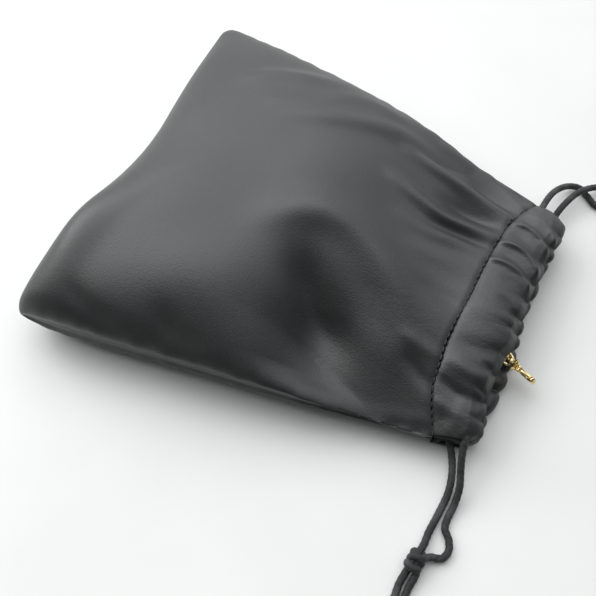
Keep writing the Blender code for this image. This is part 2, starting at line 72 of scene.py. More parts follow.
# ---- named choices ------------------------------------------------------------------------
class Side(Enum):
    """The two sides of the pouch; the value is the sign of y."""

    NEAR = -1
    FAR = 1

    @property
    def label(self) -> str:
        """The side's word in piece names."""
        return self.name.lower()

    @property
    def puller(self) -> "Side":
        """The side whose drawcord draws this end of the mouth in."""
        return Side.FAR if self is Side.NEAR else Side.NEAR


class Layer(Enum):
    """The two layers of the pouch; the value is the sign of their outward z."""

    FRONT = 1
    BACK = -1

    @property
    def label(self) -> str:
        """The layer's word in piece names."""
        return self.name.lower()


class Slot(Enum):
    """The record's material slots."""

    LEATHER = "leather"
    LINING = "lining"
    THREAD = "thread"
    CORD = "cord"
    GOLD = "gold_metal"


# ---- shader node groups -------------------------------------------------------------------
class NodeBench:
    """Places and links nodes in one node tree."""

    def __init__(self, tree: bpy.types.NodeTree) -> None:
        """Keep the tree; new nodes are laid out from left to right."""
        self.tree = tree
        self.column = 0

    def add(self, kind: str, **settings: object) -> bpy.types.Node:
        """Make a node.

        Args:
            kind: the node's type name.
            settings: properties of the node, and values or sockets for its inputs by name,
                with _ for a space.

        Returns:
            The new node.
        """
        node = self.tree.nodes.new(kind)
        self.column += 1
        node.location = (self.column * 180, 0)
        for name, value in settings.items():
            label = name.replace("_", " ")
            if isinstance(value, bpy.types.NodeSocket):
                self.join(value, node.inputs[label])
            elif hasattr(node, name):
                setattr(node, name, value)
            else:
                node.inputs[label].default_value = value
        return node

    def join(self, source: bpy.types.NodeSocket, target: bpy.types.NodeSocket) -> None:
        """Link two sockets."""
        self.tree.links.new(source, target)

    def math(self, operation: str, first: object, second: object = 0.0) -> bpy.types.NodeSocket:
        """A Math node of two values or sockets.

        Args:
            operation: the node's operation.
            first: a number or a socket.
            second: a number or a socket.

        Returns:
            The node's output.
        """
        node = self.add("ShaderNodeMath", operation=operation)
        for socket, value in zip(node.inputs, (first, second)):
            if isinstance(value, (int, float)):
                socket.default_value = value
            else:
                self.join(value, socket)
        return node.outputs[0]

    def ramp(self, source: bpy.types.NodeSocket, low: float, high: float,
             start: float = 0.0, end: float = 1.0) -> bpy.types.NodeSocket:
        """Map a range of values to another, held at its ends.

        Args:
            source: the value to map.
            low: the value that becomes start.
            high: the value that becomes end.
            start: the first result.
            end: the last result.

        Returns:
            The mapped value.
        """
        node = self.add("ShaderNodeMapRange", Value=source, From_Min=low, From_Max=high,
                        To_Min=start, To_Max=end)
        return node.outputs["Result"]

    def mix(self, factor: bpy.types.NodeSocket, first: tuple,
            second: tuple) -> bpy.types.NodeSocket:
        """A colour between two colours.

        Args:
            factor: how far to go to the second colour.
            first: the first colour.
            second: the second colour.

        Returns:
            The mixed colour.
        """
        node = self.add("ShaderNodeMix", data_type="RGBA")
        node.inputs[6].default_value = (*first, 1.0)
        node.inputs[7].default_value = (*second, 1.0)
        self.join(factor, node.inputs[0])
        return node.outputs[2]


class Groups:
    """Shader node groups that several finishes share, each built once."""

    @staticmethod
    def start(name: str, inputs: dict[str, float], outputs: list[str]) -> tuple:
        """Make an empty group, or find the one that is there.

        Args:
            name: the group's name.
            inputs: its inputs and their usual values, apart from the Vector that it always has.
            outputs: its outputs, all single values.

        Returns:
            The tree, its bench, and its input and output nodes; the last three are None if the
            group was there.
        """
        tree = bpy.data.node_groups.get(name)
        if tree:
            return tree, None, None, None
        tree = bpy.data.node_groups.new(name, "ShaderNodeTree")
        tree.interface.new_socket("Vector", in_out="INPUT", socket_type="NodeSocketVector")
        for label, value in inputs.items():
            socket = tree.interface.new_socket(label, in_out="INPUT",
                                               socket_type="NodeSocketFloat")
            socket.default_value = value
        for label in outputs:
            tree.interface.new_socket(label, in_out="OUTPUT", socket_type="NodeSocketFloat")
        bench = NodeBench(tree)
        return tree, bench, bench.add("NodeGroupInput"), bench.add("NodeGroupOutput")

    @classmethod
    def grain(cls) -> bpy.types.NodeTree:
        """Leather grain: fine pebbles, hair creases between them, and broad soft unevenness."""
        tree, b, ends, out = cls.start(
            "leather_grain", {"Pebble Scale": 1150.0, "Crease Scale": 380.0,
                              "Broad Scale": 45.0, "Seed": 0.0},
            ["Height", "Broad"])
        if b is None:
            return tree
        place, wide = ends.outputs["Vector"], ends.outputs["Crease Scale"]
        warp = b.add("ShaderNodeTexNoise", noise_dimensions="3D", Detail=3.0, Vector=place,
                     Scale=wide)
        pebble = b.add("ShaderNodeTexVoronoi", feature="DISTANCE_TO_EDGE", Vector=place,
                       Scale=ends.outputs["Pebble Scale"])
        crease = b.add("ShaderNodeTexVoronoi", feature="DISTANCE_TO_EDGE", Vector=place,
                       Scale=wide)
        broad = b.add("ShaderNodeTexNoise", noise_dimensions="4D", Detail=4.0, Roughness=0.55,
                      Vector=place, Scale=ends.outputs["Broad Scale"], W=ends.outputs["Seed"])
        pores = b.ramp(pebble.outputs["Distance"], 0.0, 0.22)
        lines = b.ramp(crease.outputs["Distance"], 0.0, 0.10)
        small = b.math("MULTIPLY", pores, 0.5)
        large = b.math("MULTIPLY", lines, 0.3)
        rough = b.math("MULTIPLY", warp.outputs["Fac"], 0.5)
        height = b.math("ADD", b.math("ADD", small, large), rough)
        b.join(height, out.inputs["Height"])
        b.join(broad.outputs["Fac"], out.inputs["Broad"])
        return tree

    @classmethod
    def wrinkle(cls) -> bpy.types.NodeTree:
        """Fine wrinkles that run out of the mouth, as thin leather makes where it is bent."""
        tree, b, ends, out = cls.start("fine_wrinkles", {"Across": 420.0, "Along": 90.0},
                                       ["Height"])
        if b is None:
            return tree
        total = None
        for turn, share in ((0.35, 0.6), (-0.5, 0.4)):
            lay = b.add("ShaderNodeMapping", Rotation=(0.0, 0.0, turn),
                        Vector=ends.outputs["Vector"])
            stretch = b.add("ShaderNodeCombineXYZ", X=ends.outputs["Along"],
                            Y=ends.outputs["Across"], Z=ends.outputs["Across"])
            scaled = b.add("ShaderNodeVectorMath", operation="MULTIPLY")
            b.join(lay.outputs["Vector"], scaled.inputs[0])
            b.join(stretch.outputs["Vector"], scaled.inputs[1])
            noise = b.add("ShaderNodeTexNoise", noise_dimensions="3D", Scale=1.0, Detail=3.0,
                          Distortion=0.4, Vector=scaled.outputs["Vector"])
            part = b.math("MULTIPLY", b.ramp(noise.outputs["Fac"], 0.38, 0.62), share)
            total = part if total is None else b.math("ADD", total, part)
        b.join(total, out.inputs["Height"])
        return tree

    @classmethod
    def yarn(cls) -> bpy.types.NodeTree:
        """Fibres and dust of spun yarn."""
        tree, b, ends, out = cls.start("yarn_fibres", {"Scale": 2600.0}, ["Height", "Lint"])
        if b is None:
            return tree
        place = ends.outputs["Vector"]
        fibre = b.add("ShaderNodeTexNoise", noise_dimensions="3D", Detail=4.0, Roughness=0.7,
                      Vector=place, Scale=ends.outputs["Scale"])
        lint = b.add("ShaderNodeTexNoise", noise_dimensions="3D", Scale=180.0, Detail=2.0,
                     Vector=place)
        b.join(fibre.outputs["Fac"], out.inputs["Height"])
        b.join(b.ramp(lint.outputs["Fac"], 0.45, 0.75), out.inputs["Lint"])
        return tree

    @classmethod
    def wear(cls) -> bpy.types.NodeTree:
        """Tarnish patches and fine brushed scratches on plated metal."""
        tree, b, ends, out = cls.start("plating_wear", {"Patch Scale": 700.0,
                                                        "Scratch Scale": 5200.0},
                                       ["Patches", "Scratches"])
        if b is None:
            return tree
        place = ends.outputs["Vector"]
        patch = b.add("ShaderNodeTexNoise", noise_dimensions="3D", Detail=5.0, Roughness=0.6,
                      Vector=place, Scale=ends.outputs["Patch Scale"])
        scratch = b.add("ShaderNodeTexNoise", noise_dimensions="3D", Detail=2.0,
                        Distortion=1.5, Vector=place, Scale=ends.outputs["Scratch Scale"])
        b.join(b.ramp(patch.outputs["Fac"], 0.40, 0.68), out.inputs["Patches"])
        b.join(scratch.outputs["Fac"], out.inputs["Scratches"])
        return tree


# ---- finishes -----------------------------------------------------------------------------
def new_material(name: str, **settings: float) -> tuple:
    """A new material.

    Args:
        name: its name.
        settings: values of its shader's inputs, with _ for a space.

    Returns:
        The material, its bench, its Principled shader, and the object's own coordinates.
    """
    made = bpy.data.materials.new(name)
    made.use_nodes = True
    bench, shader = NodeBench(made.node_tree), made.node_tree.nodes["Principled BSDF"]
    for label, value in settings.items():
        shader.inputs[label.replace("_", " ")].default_value = value
    return made, bench, shader, bench.add("ShaderNodeTexCoord").outputs["Object"]


@dataclass(frozen=True)
class LeatherFinish:
    """Smooth, semi-matt black leather; creased and worn where the mesh attributes say."""

    name: str
    dark: tuple[float, float, float] = (0.0105, 0.0110, 0.0115)
    light: tuple[float, float, float] = (0.0160, 0.0165, 0.0165)
    worn: tuple[float, float, float] = (0.060, 0.061, 0.062)
    roughness: float = 0.44
    grain_height: float = 0.00009
    wrinkle_height: float = 0.00007
    seed: float = 0.0

    def material(self) -> bpy.types.Material:
        """Build the material."""
        made, b, shader, place = new_material(self.name, Specular_IOR_Level=0.62,
                                              Sheen_Weight=0.06, Sheen_Roughness=0.5)
        grain = b.add("ShaderNodeGroup", node_tree=Groups.grain(), Vector=place,
                      Seed=self.seed)
        wrinkles = b.add("ShaderNodeGroup", node_tree=Groups.wrinkle(), Vector=place)
        creased = b.add("ShaderNodeAttribute", attribute_name="creased").outputs["Fac"]
        edge = b.add("ShaderNodeAttribute", attribute_name="edge").outputs["Fac"]
        tone = b.mix(b.ramp(grain.outputs["Broad"], 0.3, 0.7), self.dark, self.light)
        rub = b.add("ShaderNodeMix", data_type="RGBA")
        b.join(b.math("MULTIPLY", edge, 0.7), rub.inputs[0])
        b.join(tone, rub.inputs[6])
        rub.inputs[7].default_value = (*self.worn, 1.0)
        b.join(rub.outputs[2], shader.inputs["Base Color"])
        gloss = b.ramp(grain.outputs["Broad"], 0.25, 0.75, self.roughness - 0.03,
                       self.roughness + 0.05)
        gloss = b.math("ADD", gloss, b.math("MULTIPLY", creased, -0.03))
        b.join(gloss, shader.inputs["Roughness"])
        fine = b.add("ShaderNodeBump", Strength=0.55, Distance=self.grain_height,
                     Height=grain.outputs["Height"])
        deep = b.add("ShaderNodeBump", Strength=1.0, Distance=self.wrinkle_height,
                     Height=b.math("MULTIPLY", wrinkles.outputs["Height"], creased),
                     Normal=fine.outputs["Normal"])
        b.join(deep.outputs["Normal"], shader.inputs["Normal"])
        return made


@dataclass(frozen=True)
class YarnFinish:
    """Matt black yarn, for cord, thread and lining."""

    name: str
    colour: tuple[float, float, float]
    lint: tuple[float, float, float]
    roughness: float = 0.8
    fibre_height: float = 0.00006
    scale: float = 2600.0

    def material(self) -> bpy.types.Material:
        """Build the material."""
        made, b, shader, place = new_material(self.name, Sheen_Weight=0.12,
                                              Sheen_Roughness=0.4)
        yarn = b.add("ShaderNodeGroup", node_tree=Groups.yarn(), Vector=place,
                     Scale=self.scale)
        b.join(b.mix(yarn.outputs["Lint"], self.colour, self.lint), shader.inputs["Base Color"])
        b.join(b.ramp(yarn.outputs["Height"], 0.3, 0.7, self.roughness - 0.08,
                      self.roughness + 0.08), shader.inputs["Roughness"])
        bump = b.add("ShaderNodeBump", Strength=0.8, Distance=self.fibre_height,
                     Height=yarn.outputs["Height"])
        b.join(bump.outputs["Normal"], shader.inputs["Normal"])
        return made


@dataclass(frozen=True)
class PlatedFinish:
    """Polished gold plating with slight tarnish."""

    name: str
    bright: tuple[float, float, float] = (0.90, 0.74, 0.40)
    dull: tuple[float, float, float] = (0.58, 0.43, 0.19)
    roughness: float = 0.17
    scratch_height: float = 0.00002

    def material(self) -> bpy.types.Material:
        """Build the material."""
        made, b, shader, place = new_material(self.name, Metallic=1.0)
        wear = b.add("ShaderNodeGroup", node_tree=Groups.wear(), Vector=place)
        b.join(b.mix(wear.outputs["Patches"], self.bright, self.dull),
               shader.inputs["Base Color"])
        b.join(b.ramp(wear.outputs["Patches"], 0.0, 1.0, self.roughness, self.roughness + 0.2),
               shader.inputs["Roughness"])
        bump = b.add("ShaderNodeBump", Strength=0.25, Distance=self.scratch_height,
                     Height=wear.outputs["Scratches"])
        b.join(bump.outputs["Normal"], shader.inputs["Normal"])
        return made


@dataclass(frozen=True)
class FloorFinish:
    """Plain pale floor."""

    name: str = "pale_floor"
    colour: tuple[float, float, float] = (0.73, 0.73, 0.715)

    def material(self) -> bpy.types.Material:
        """Build the material."""
        made, b, shader, place = new_material(self.name, Roughness=0.62)
        noise = b.add("ShaderNodeTexNoise", Scale=14.0, Detail=4.0, Vector=place)
        darker = tuple(0.96 * c for c in self.colour)
        b.join(b.mix(b.ramp(noise.outputs["Fac"], 0.35, 0.65), darker, self.colour),
               shader.inputs["Base Color"])
        return made


# ---- mesh helpers -------------------------------------------------------------------------
def ease(t: np.ndarray | float) -> np.ndarray | float:
    """Smooth step from 0 to 1."""
    t = np.clip(t, 0.0, 1.0)
    return t * t * (3 - 2 * t)


def unit(v: np.ndarray) -> np.ndarray:
    """Vectors of length 1 along the last axis."""
    return v / np.maximum(np.linalg.norm(v, axis=-1, keepdims=True), 1e-12)


def grid_normals(grid: np.ndarray, wrap: bool) -> np.ndarray:
    """Normals of a grid of points.

    Args:
        grid: rows x columns x 3.
        wrap: whether the last column is followed by the first.

    Returns:
        Unit normals, column direction x row direction.
    """
    if wrap:
        across = np.roll(grid, -1, 1) - np.roll(grid, 1, 1)
    else:
        across = np.gradient(grid, axis=1)
    return unit(np.cross(np.gradient(grid, axis=0), across))


def mesh_piece(name: str, points: np.ndarray, faces: list, finish: bpy.types.Material,
               normals: np.ndarray | None = None,
               attributes: dict[str, np.ndarray] | None = None) -> bpy.types.Object:
    """An object from points and faces.

    Args:
        name: the object's name.
        points: n x 3 places.
        faces: tuples of point numbers.
        finish: its material.
        normals: a shading normal for each point, or None for smooth shading.
        attributes: values at the points, by name.

    Returns:
        The object, linked to the scene.
    """
    mesh = bpy.data.meshes.new(name)
    mesh.from_pydata(points.tolist(), [], faces)
    mesh.materials.append(finish)
    mesh.shade_smooth()
    for label, values in (attributes or {}).items():
        layer = mesh.attributes.new(label, "FLOAT", "POINT")
        layer.data.foreach_set("value", values.astype(np.float32))
    if normals is not None:
        mesh.normals_split_custom_set_from_vertices(normals.tolist())
    obj = bpy.data.objects.new(name, mesh)
    bpy.context.scene.collection.objects.link(obj)
    return obj


def ride_on(obj: bpy.types.Object, body: str, slot: Slot, *nodes: str) -> None:
    """Let a piece ride on one body, in place of the named nodes."""
    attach(obj, body)
    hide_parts(*nodes)
    LOG.info("%s: %d faces", obj.name, len(obj.data.polygons))


def at_place(points: np.ndarray, place: Matrix) -> np.ndarray:
    """Points, n x 3, moved from a local frame to where that frame stands."""
    frame = np.array(place)
    return points @ frame[:3, :3].T + frame[:3, 3]


def strip_faces(first: np.ndarray, second: np.ndarray) -> list:
    """Quads between two rows of point numbers."""
    return [(int(a), int(b), int(d), int(c))
            for a, b, c, d in zip(first, first[1:], second, second[1:])]


def shell_piece(name: str, outer: np.ndarray, inner: np.ndarray, wrap: bool,
                finish: bpy.types.Material, normals: tuple[np.ndarray, np.ndarray],
                attributes: dict[str, np.ndarray] | None = None) -> bpy.types.Object:
    """A closed sheet with thickness, between an outer and an inner grid of points.

    Args:
        name: the object's name.
        outer: rows x columns x 3, on the outside.
        inner: the same points on the inside.
        wrap: whether the columns close to a ring.
        finish: its material.
        normals: outward normals of the outer grid, and of the inner grid facing in.
        attributes: values at the outer grid's points, by name.

    Returns:
        The object.
    """
    rows, columns = outer.shape[:2]
    top = np.arange(rows * columns).reshape(rows, columns)
    if wrap:
        top = np.concatenate([top, top[:, :1]], 1)
    low = top + rows * columns
    a, b, c, d = (top[:-1, :-1].ravel(), top[:-1, 1:].ravel(), top[1:, 1:].ravel(),
                  top[1:, :-1].ravel())
    one = outer.reshape(-1, 3)
    facing = np.cross(one[b] - one[a], one[d] - one[a])
    forward = float(np.sum(facing * normals[0].reshape(-1, 3)[a])) > 0
    quads = np.stack([a, b, c, d] if forward else [a, d, c, b], 1)
    faces = [tuple(q) for q in quads.tolist()]
    under = quads[:, ::-1] + rows * columns
    faces += [tuple(q) for q in under.tolist()]
    rims = [(low[0], top[0]), (top[-1], low[-1])]
    if not wrap:
        rims += [(top[:, 0], low[:, 0]), (low[:, -1], top[:, -1])]
    for first, second in rims:
        rim = strip_faces(first, second)
        faces += rim if forward else [f[::-1] for f in rim]
    points = np.concatenate([one, inner.reshape(-1, 3)])
    shading = np.concatenate([normals[0].reshape(-1, 3), normals[1].reshape(-1, 3)])
    values = {label: np.concatenate([v.ravel(), v.ravel()])
              for label, v in (attributes or {}).items()}
    return mesh_piece(name, points, faces, finish, shading, values)


def carried_frames(line: np.ndarray) -> tuple[np.ndarray, np.ndarray, np.ndarray]:
    """Frames that don't twist along a line.

    Args:
        line: n x 3 points.

    Returns:
        Tangents, and two directions across the line, each n x 3.
    """
    tangent = unit(np.gradient(line, axis=0))
    across = np.zeros_like(line)
    start = np.array([0.0, 0.0, 1.0]) if abs(tangent[0][2]) < 0.9 else np.array([1.0, 0, 0])
    current = unit(start - tangent[0] * np.dot(start, tangent[0]))
    for i, direction in enumerate(tangent):
        current = unit(current - direction * np.dot(current, direction))
        across[i] = current
    return tangent, across, np.cross(tangent, across)


def distances(line: np.ndarray) -> np.ndarray:
    """How far each point of a line is along it."""
    return np.concatenate([[0], np.cumsum(np.linalg.norm(np.diff(line, axis=0), axis=1))])


def smooth_route(route: np.ndarray, step: float) -> np.ndarray:
    """Points an even step apart on a smooth curve through the route's points."""
    ends = np.concatenate([[2 * route[0] - route[1]], route, [2 * route[-1] - route[-2]]])
    line = []
    for a, b, c, d in zip(ends, ends[1:], ends[2:], ends[3:]):
        t = np.linspace(0, 1, 24, endpoint=False)[:, None]
        line.append(0.5 * (2 * b + (c - a) * t + (2 * a - 5 * b + 4 * c - d) * t ** 2
                           + (3 * b - a - 3 * c + d) * t ** 3))
    dense = np.concatenate([*line, route[-1:]])
    along = distances(dense)
    count = max(2, int(round(along[-1] / step)) + 1)
    even = np.linspace(0, along[-1], count)
    return np.stack([np.interp(even, along, dense[:, k]) for k in range(3)], 1)


def length_of(line: np.ndarray) -> float:
    """Length of a line of points."""
    return float(np.linalg.norm(np.diff(line, axis=0), axis=1).sum())


def ring_faces(count: int, sides: int, closed: bool = False) -> list:
    """Faces over rings of points that follow one another.

    Args:
        count: how many rings there are.
        sides: points in each ring.
        closed: whether the last ring joins the first; if not, both ends are capped.

    Returns:
        Tuples of point numbers.
    """
    ids = np.arange(count * sides).reshape(count, sides)
    ids = np.concatenate([ids, ids[:, :1]], 1)
    if closed:
        ids = np.concatenate([ids, ids[:1]], 0)
    quads = np.stack([ids[:-1, :-1].ravel(), ids[:-1, 1:].ravel(), ids[1:, 1:].ravel(),
                      ids[1:, :-1].ravel()], 1)
    faces = [tuple(q) for q in quads.tolist()]
    if not closed:
        faces.append(tuple(range(sides))[::-1])
        faces.append(tuple(range((count - 1) * sides, count * sides)))
    return faces


def squared_ring(sides: int, wide: float, high: float) -> tuple[np.ndarray, np.ndarray]:
    """A circle of radius 1 pushed towards a square by powers below 1, as two coordinates."""
    turn = np.arange(sides) * math.tau / sides
    return (np.sign(np.cos(turn)) * np.abs(np.cos(turn)) ** wide,
            np.sign(np.sin(turn)) * np.abs(np.sin(turn)) ** high)


def tube_arrays(line: np.ndarray, radii: np.ndarray,
                closed: bool = False) -> tuple[np.ndarray, list]:
    """Points and faces of a tube.

    Args:
        line: n x 3 ring centres.
        radii: n x sides radii.
        closed: whether the last ring joins the first.

    Returns:
        Points and faces.
    """
    _, u, v = carried_frames(line)
    count, sides = radii.shape
    turn = np.arange(sides) * math.tau / sides
    ring = (np.cos(turn)[None, :, None] * u[:, None]
            + np.sin(turn)[None, :, None] * v[:, None])
    points = (line[:, None] + radii[:, :, None] * ring).reshape(-1, 3)
    return points, ring_faces(count, sides, closed)


def turned_arrays(profile: list[tuple[float, float]], sides: int, place: Matrix) -> tuple:
    """Points and faces of a closed turned shape.

    Args:
        profile: (place along local x, radius) from one end to the other.
        sides: faces round the axis.
        place: where the shape stands.

    Returns:
        Points and faces.
    """
    points, faces = [], []
    for x, radius in profile:
        for j in range(sides):
            turn = math.tau * j / sides
            points.append(place @ Vector((x, radius * math.cos(turn), radius * math.sin(turn))))
    for i in range(len(profile) - 1):
        for j in range(sides):
            k = (j + 1) % sides
            a, b = i * sides, (i + 1) * sides
            faces.append((a + j, b + j, b + k, a + k))
    faces.append(tuple(range(sides)))
    last = (len(profile) - 1) * sides
    faces.append(tuple(range(last, last + sides))[::-1])
    return np.array([tuple(p) for p in points]), faces


def joined(parts: list[tuple[np.ndarray, list]]) -> tuple[np.ndarray, list]:
    """Several sets of points and faces as one."""
    points, faces, base = [], [], 0
    for some, their in parts:
        points.append(some)
        faces += [tuple(i + base for i in f) for f in their]
        base += len(some)
    return np.concatenate(points), faces


def outwards(obj: bpy.types.Object, sharp: float | None = None) -> bpy.types.Object:
    """Turn a closed mesh's faces outwards.

    Args:
        obj: the object.
        sharp: edges sharper than this angle in degrees stay crisp, or None for all smooth.

    Returns:
        The same object.
    """
    work = bmesh.new()
    work.from_mesh(obj.data)
    bmesh.ops.recalc_face_normals(work, faces=work.faces)
    work.to_mesh(obj.data)
    work.free()
    obj.data.shade_smooth()
    if sharp is not None:
        obj.data.set_sharp_from_angle(angle=math.radians(sharp))
    return obj


# ---- the leather's shape ------------------------------------------------------------------
@dataclass(frozen=True)
class Fold:
    """A soft ridge, or a hollow where the height is negative, along a route on the leather."""

    route_mm: tuple[tuple[float, float], ...]
    height_mm: float
    width_mm: float
    taper: float = 0.3

    def lift(self, x: np.ndarray, y: np.ndarray) -> np.ndarray:
        """How far the leather is lifted, in metres, at places in metres."""
        route = np.array([(*place, 0.0) for place in self.route_mm])
        line = smooth_route(route, 0.45 * self.width_mm)
        spacing = length_of(line) / (len(line) - 1)
        share = np.linspace(0, 1, len(line))
        fade = ease(0.3 + share / self.taper) * ease(0.3 + (1 - share) / self.taper)
        total = np.zeros(x.shape)
        for (px, py, _), size in zip(line, fade):
            away = (x / MM - px) ** 2 + (y / MM - py) ** 2
            total += size * np.exp(-away / self.width_mm ** 2)
        return self.height_mm * MM * total * spacing / (self.width_mm * math.sqrt(math.pi))


BODY_FOLDS = (
    # the steep fall in the near half, and the crest that runs round its head
    Fold(((-8, -19), (0, -26), (10, -35), (22, -45)), -6.6, 8.5, 0.35),
    Fold(((-2, -40), (12, -48), (28, -56)), -7.4, 14.0, 0.4),
    Fold(((-4, -58), (6, -64), (20, -66)), -1.6, 8.0, 0.5),
    Fold(((-26, -14), (-18, -5), (-6, 1), (8, 0), (22, -9), (35, -22), (46, -36)), 3.4, 8.0, 0.4),
    Fold(((16, -2), (30, -8), (44, -16), (56, -24)), 2.4, 8.0, 0.5),
    # fullness at the near bottom corner and middle
    Fold(((-60, -44), (-44, -48), (-30, -50)), 1.6, 16.0, 0.4),
    Fold(((-90, -30), (-88, -48), (-86, -62)), 1.6, 7.0, 0.6),
    Fold(((-46, -60), (-33, -68), (-22, -71)), -1.0, 5.0, 0.5),
    Fold(((-81, -66), (-69, -72), (-53, -76)), -0.8, 4.0, 0.5),
    # long soft folds towards the far side
    Fold(((-67, 46), (-52, 55), (-30, 64)), 1.6, 4.5, 0.6),
    Fold(((-49, 39), (-35, 48), (-17, 58), (4, 62)), 1.5, 4.2, 0.6),
    Fold(((-42, 35), (-20, 44), (2, 52), (22, 52)), 1.7, 4.6, 0.6),
    Fold(((-45, 44), (-26, 53), (-8, 59)), -1.4, 3.8, 0.6),
    # gathers that run from the hem into the body
    Fold(((57, 17), (44, 18), (32, 16), (18, 17)), 1.5, 3.6, 0.8),
    Fold(((59, 28), (44, 26), (34, 24.5), (22, 27), (8, 31)), 3.2, 3.2, 0.7),
    Fold(((60, 40), (45, 42.5), (34, 44), (22, 45.5), (8, 47)), 3.6, 3.0, 0.7),
    Fold(((64, 49), (54, 56), (46, 60), (34, 62), (20, 62)), 2.6, 2.7, 0.7),
    Fold(((58, 22.5), (44, 22), (30, 21)), -1.3, 2.8, 0.6),
    Fold(((58, 34), (44, 34.5), (30, 35)), -2.8, 3.8, 0.6),
    Fold(((62, 45), (50, 49.5), (36, 53)), -2.6, 3.4, 0.6),
    Fold(((57, 8), (40, 8), (24, 6)), 0.8, 4.0, 0.6),
    Fold(((57, -8), (46, -7), (34, -5)), -0.8, 3.6, 0.5),
    Fold(((62, -52), (50, -56), (38, -58)), 1.0, 3.4, 0.6),
    Fold(((57, -41), (50, -38), (42, -33)), -1.2, 3.0, 0.5),
    Fold(((56, -30), (48, -29), (38, -27)), 0.9, 2.8, 0.5),
)
HEM_FOLDS = (
    # narrow crests between the wide soft gathers of the far half
    Fold(((55, 17), (65, 17.5), (73, 15), (78, 10)), 1.3, 1.5, 0.3),
    Fold(((57, 27), (66, 27), (73, 24), (79, 18)), 1.5, 1.4, 0.3),
    Fold(((59, 39), (67, 38.5), (74, 35), (80, 28)), 1.6, 1.4, 0.3),
    Fold(((62, 48), (70, 45.5), (76, 41), (81, 34)), 1.5, 1.4, 0.3),
    Fold(((57, 22), (67, 21), (77, 14)), -0.9, 2.6, 0.4),
    Fold(((58, 33), (68, 32), (79, 23)), -1.0, 2.8, 0.4),
    Fold(((60, 43.5), (70, 41), (80, 32)), -0.9, 2.4, 0.4),
    Fold(((64, 12), (72, 10), (78, 6)), -0.7, 2.0, 0.4),
    # the flatter middle and the loose gathers of the near half
    Fold(((66, 3), (72, 0), (77, -3)), -0.9, 1.8, 0.4),
    Fold(((56, -4), (66, -5), (76, -8)), 0.9, 5.0, 0.4),
    Fold(((58, -20), (67, -21), (76, -19)), -0.8, 3.0, 0.4),
    Fold(((56, -28), (66, -30), (76, -29)), 1.3, 3.4, 0.4),
    Fold(((57, -36), (67, -39), (77, -38)), -1.2, 2.2, 0.3),
    Fold(((58, -44), (68, -46), (78, -45)), 1.0, 2.6, 0.3),
    Fold(((70, -24), (74, -25), (77, -25)), -0.8, 1.3, 0.4),
    Fold(((70, -33), (74, -34), (77, -34)), -0.8, 1.2, 0.4),
)


def curve_through(places: tuple[tuple[float, float], ...], blur: float) -> tuple:
    """A soft curve through measured places.

    Args:
        places: (y, value) in millimetres, in any order.
        blur: how far it is smoothed, in millimetres.

    Returns:
        Arrays of y and of the value, in metres, for np.interp.
    """
    table = np.array(sorted(places), float)
    y = np.arange(table[0, 0] - 12, table[-1, 0] + 12.01, 0.5)
    value = np.interp(y, table[:, 0], table[:, 1])
    reach = np.arange(-3 * blur, 3 * blur + 0.01, 0.5)
    kernel = np.exp(-(reach / blur) ** 2)
    padded = np.pad(value, len(reach) // 2, mode="edge")
    value = np.convolve(padded, kernel / kernel.sum(), mode="valid")[:len(y)]
    return y * MM, value * MM


STITCH_X = curve_through(((-55.7, 64.1), (-45.1, 58.5), (-38.5, 56.1), (-33.1, 55.6),
                          (-23.2, 54.3), (-14.1, 54.6), (-2.1, 55.6), (9.9, 55.8), (27.1, 57.1),
                          (38.3, 58.6), (48.9, 62.2), (54.1, 66.6)), 3.0)
STITCH_Z = curve_through(((-56, 10.6), (-51, 13), (-45.1, 15.6), (-38.5, 18.2), (-33.1, 19.8),
                          (-23.2, 21.3), (-14.1, 22), (-2.1, 22.1), (9.9, 21.6), (20, 20.6),
                          (27.1, 19.4), (38.3, 17.2), (48.9, 13.6), (55, 10.8)), 2.5)
FRONT_LIP_X = curve_through(((52.6, 77.9), (48.8, 80), (41.7, 80.7), (33.5, 78.9), (30.9, 77.8),
                             (22.4, 78.5), (16, 77.4), (11, 77.2), (3.3, 77.8), (-5, 77.5),
                             (-9, 78.2), (-13, 78.3), (-16.5, 77.2), (-20.3, 76.6),
                             (-32.3, 76.2), (-36.9, 77.1),
                             (-42.4, 78.2), (-48.3, 80), (-51.9, 77.4)), 1.0)
FRONT_LIP_Z = curve_through(((54, 11.6), (48.8, 13), (41.7, 14), (33.5, 15), (22.4, 15.8),
                             (11, 16.6), (-14.4, 16.6), (-32.3, 15.6), (-36.9, 15),
                             (-42.4, 14), (-48.3, 12.6), (-54, 11.4)), 2.0)
BACK_LIP_X = curve_through(((52, 77.6), (46, 80), (38, 80.4), (30, 79.2), (22, 79.6),
                            (10.5, 78.9), (-0.1, 79.8), (-8.8, 81.0), (-19.9, 81.2),
                            (-27.9, 81.0), (-34.7, 80.2), (-40.7, 79.6), (-48, 79.6),
                            (-52, 77.0)), 1.5)


# by x, how far the side seams are from the middle, and by y, where the bottom edge is
NEAR_SIDE_Y = curve_through(((-100, 83.4), (-91, 82.6), (-80, 81.6), (-68, 80.0), (-52, 77.8),
                             (-38, 75.4), (-24, 73.2), (-6, 70.6), (15, 67.0), (34, 62.8),
                             (50, 59.0), (63, 55.8), (72, 54)), 5.0)
FAR_SIDE_Y = curve_through(((-100, 84.6), (-92, 83.6), (-75, 81.2), (-55, 78.6), (-28, 74.9),
                            (-3, 71.2), (16, 68.2), (28, 65.8), (38, 63.6), (48, 61.0),
                            (58, 58.0), (66, 55.6), (72, 54.4)), 4.0)
BOTTOM_X = curve_through(((-84, -99.0), (-70, -99.0), (-50, -97.2), (-36, -95.0),
                          (-22, -92.8), (-10, -91.4), (0, -90.6), (14, -90.6), (28, -92.0),
                          (45, -93.2), (70, -93.8), (84, -94.2)), 6.0)


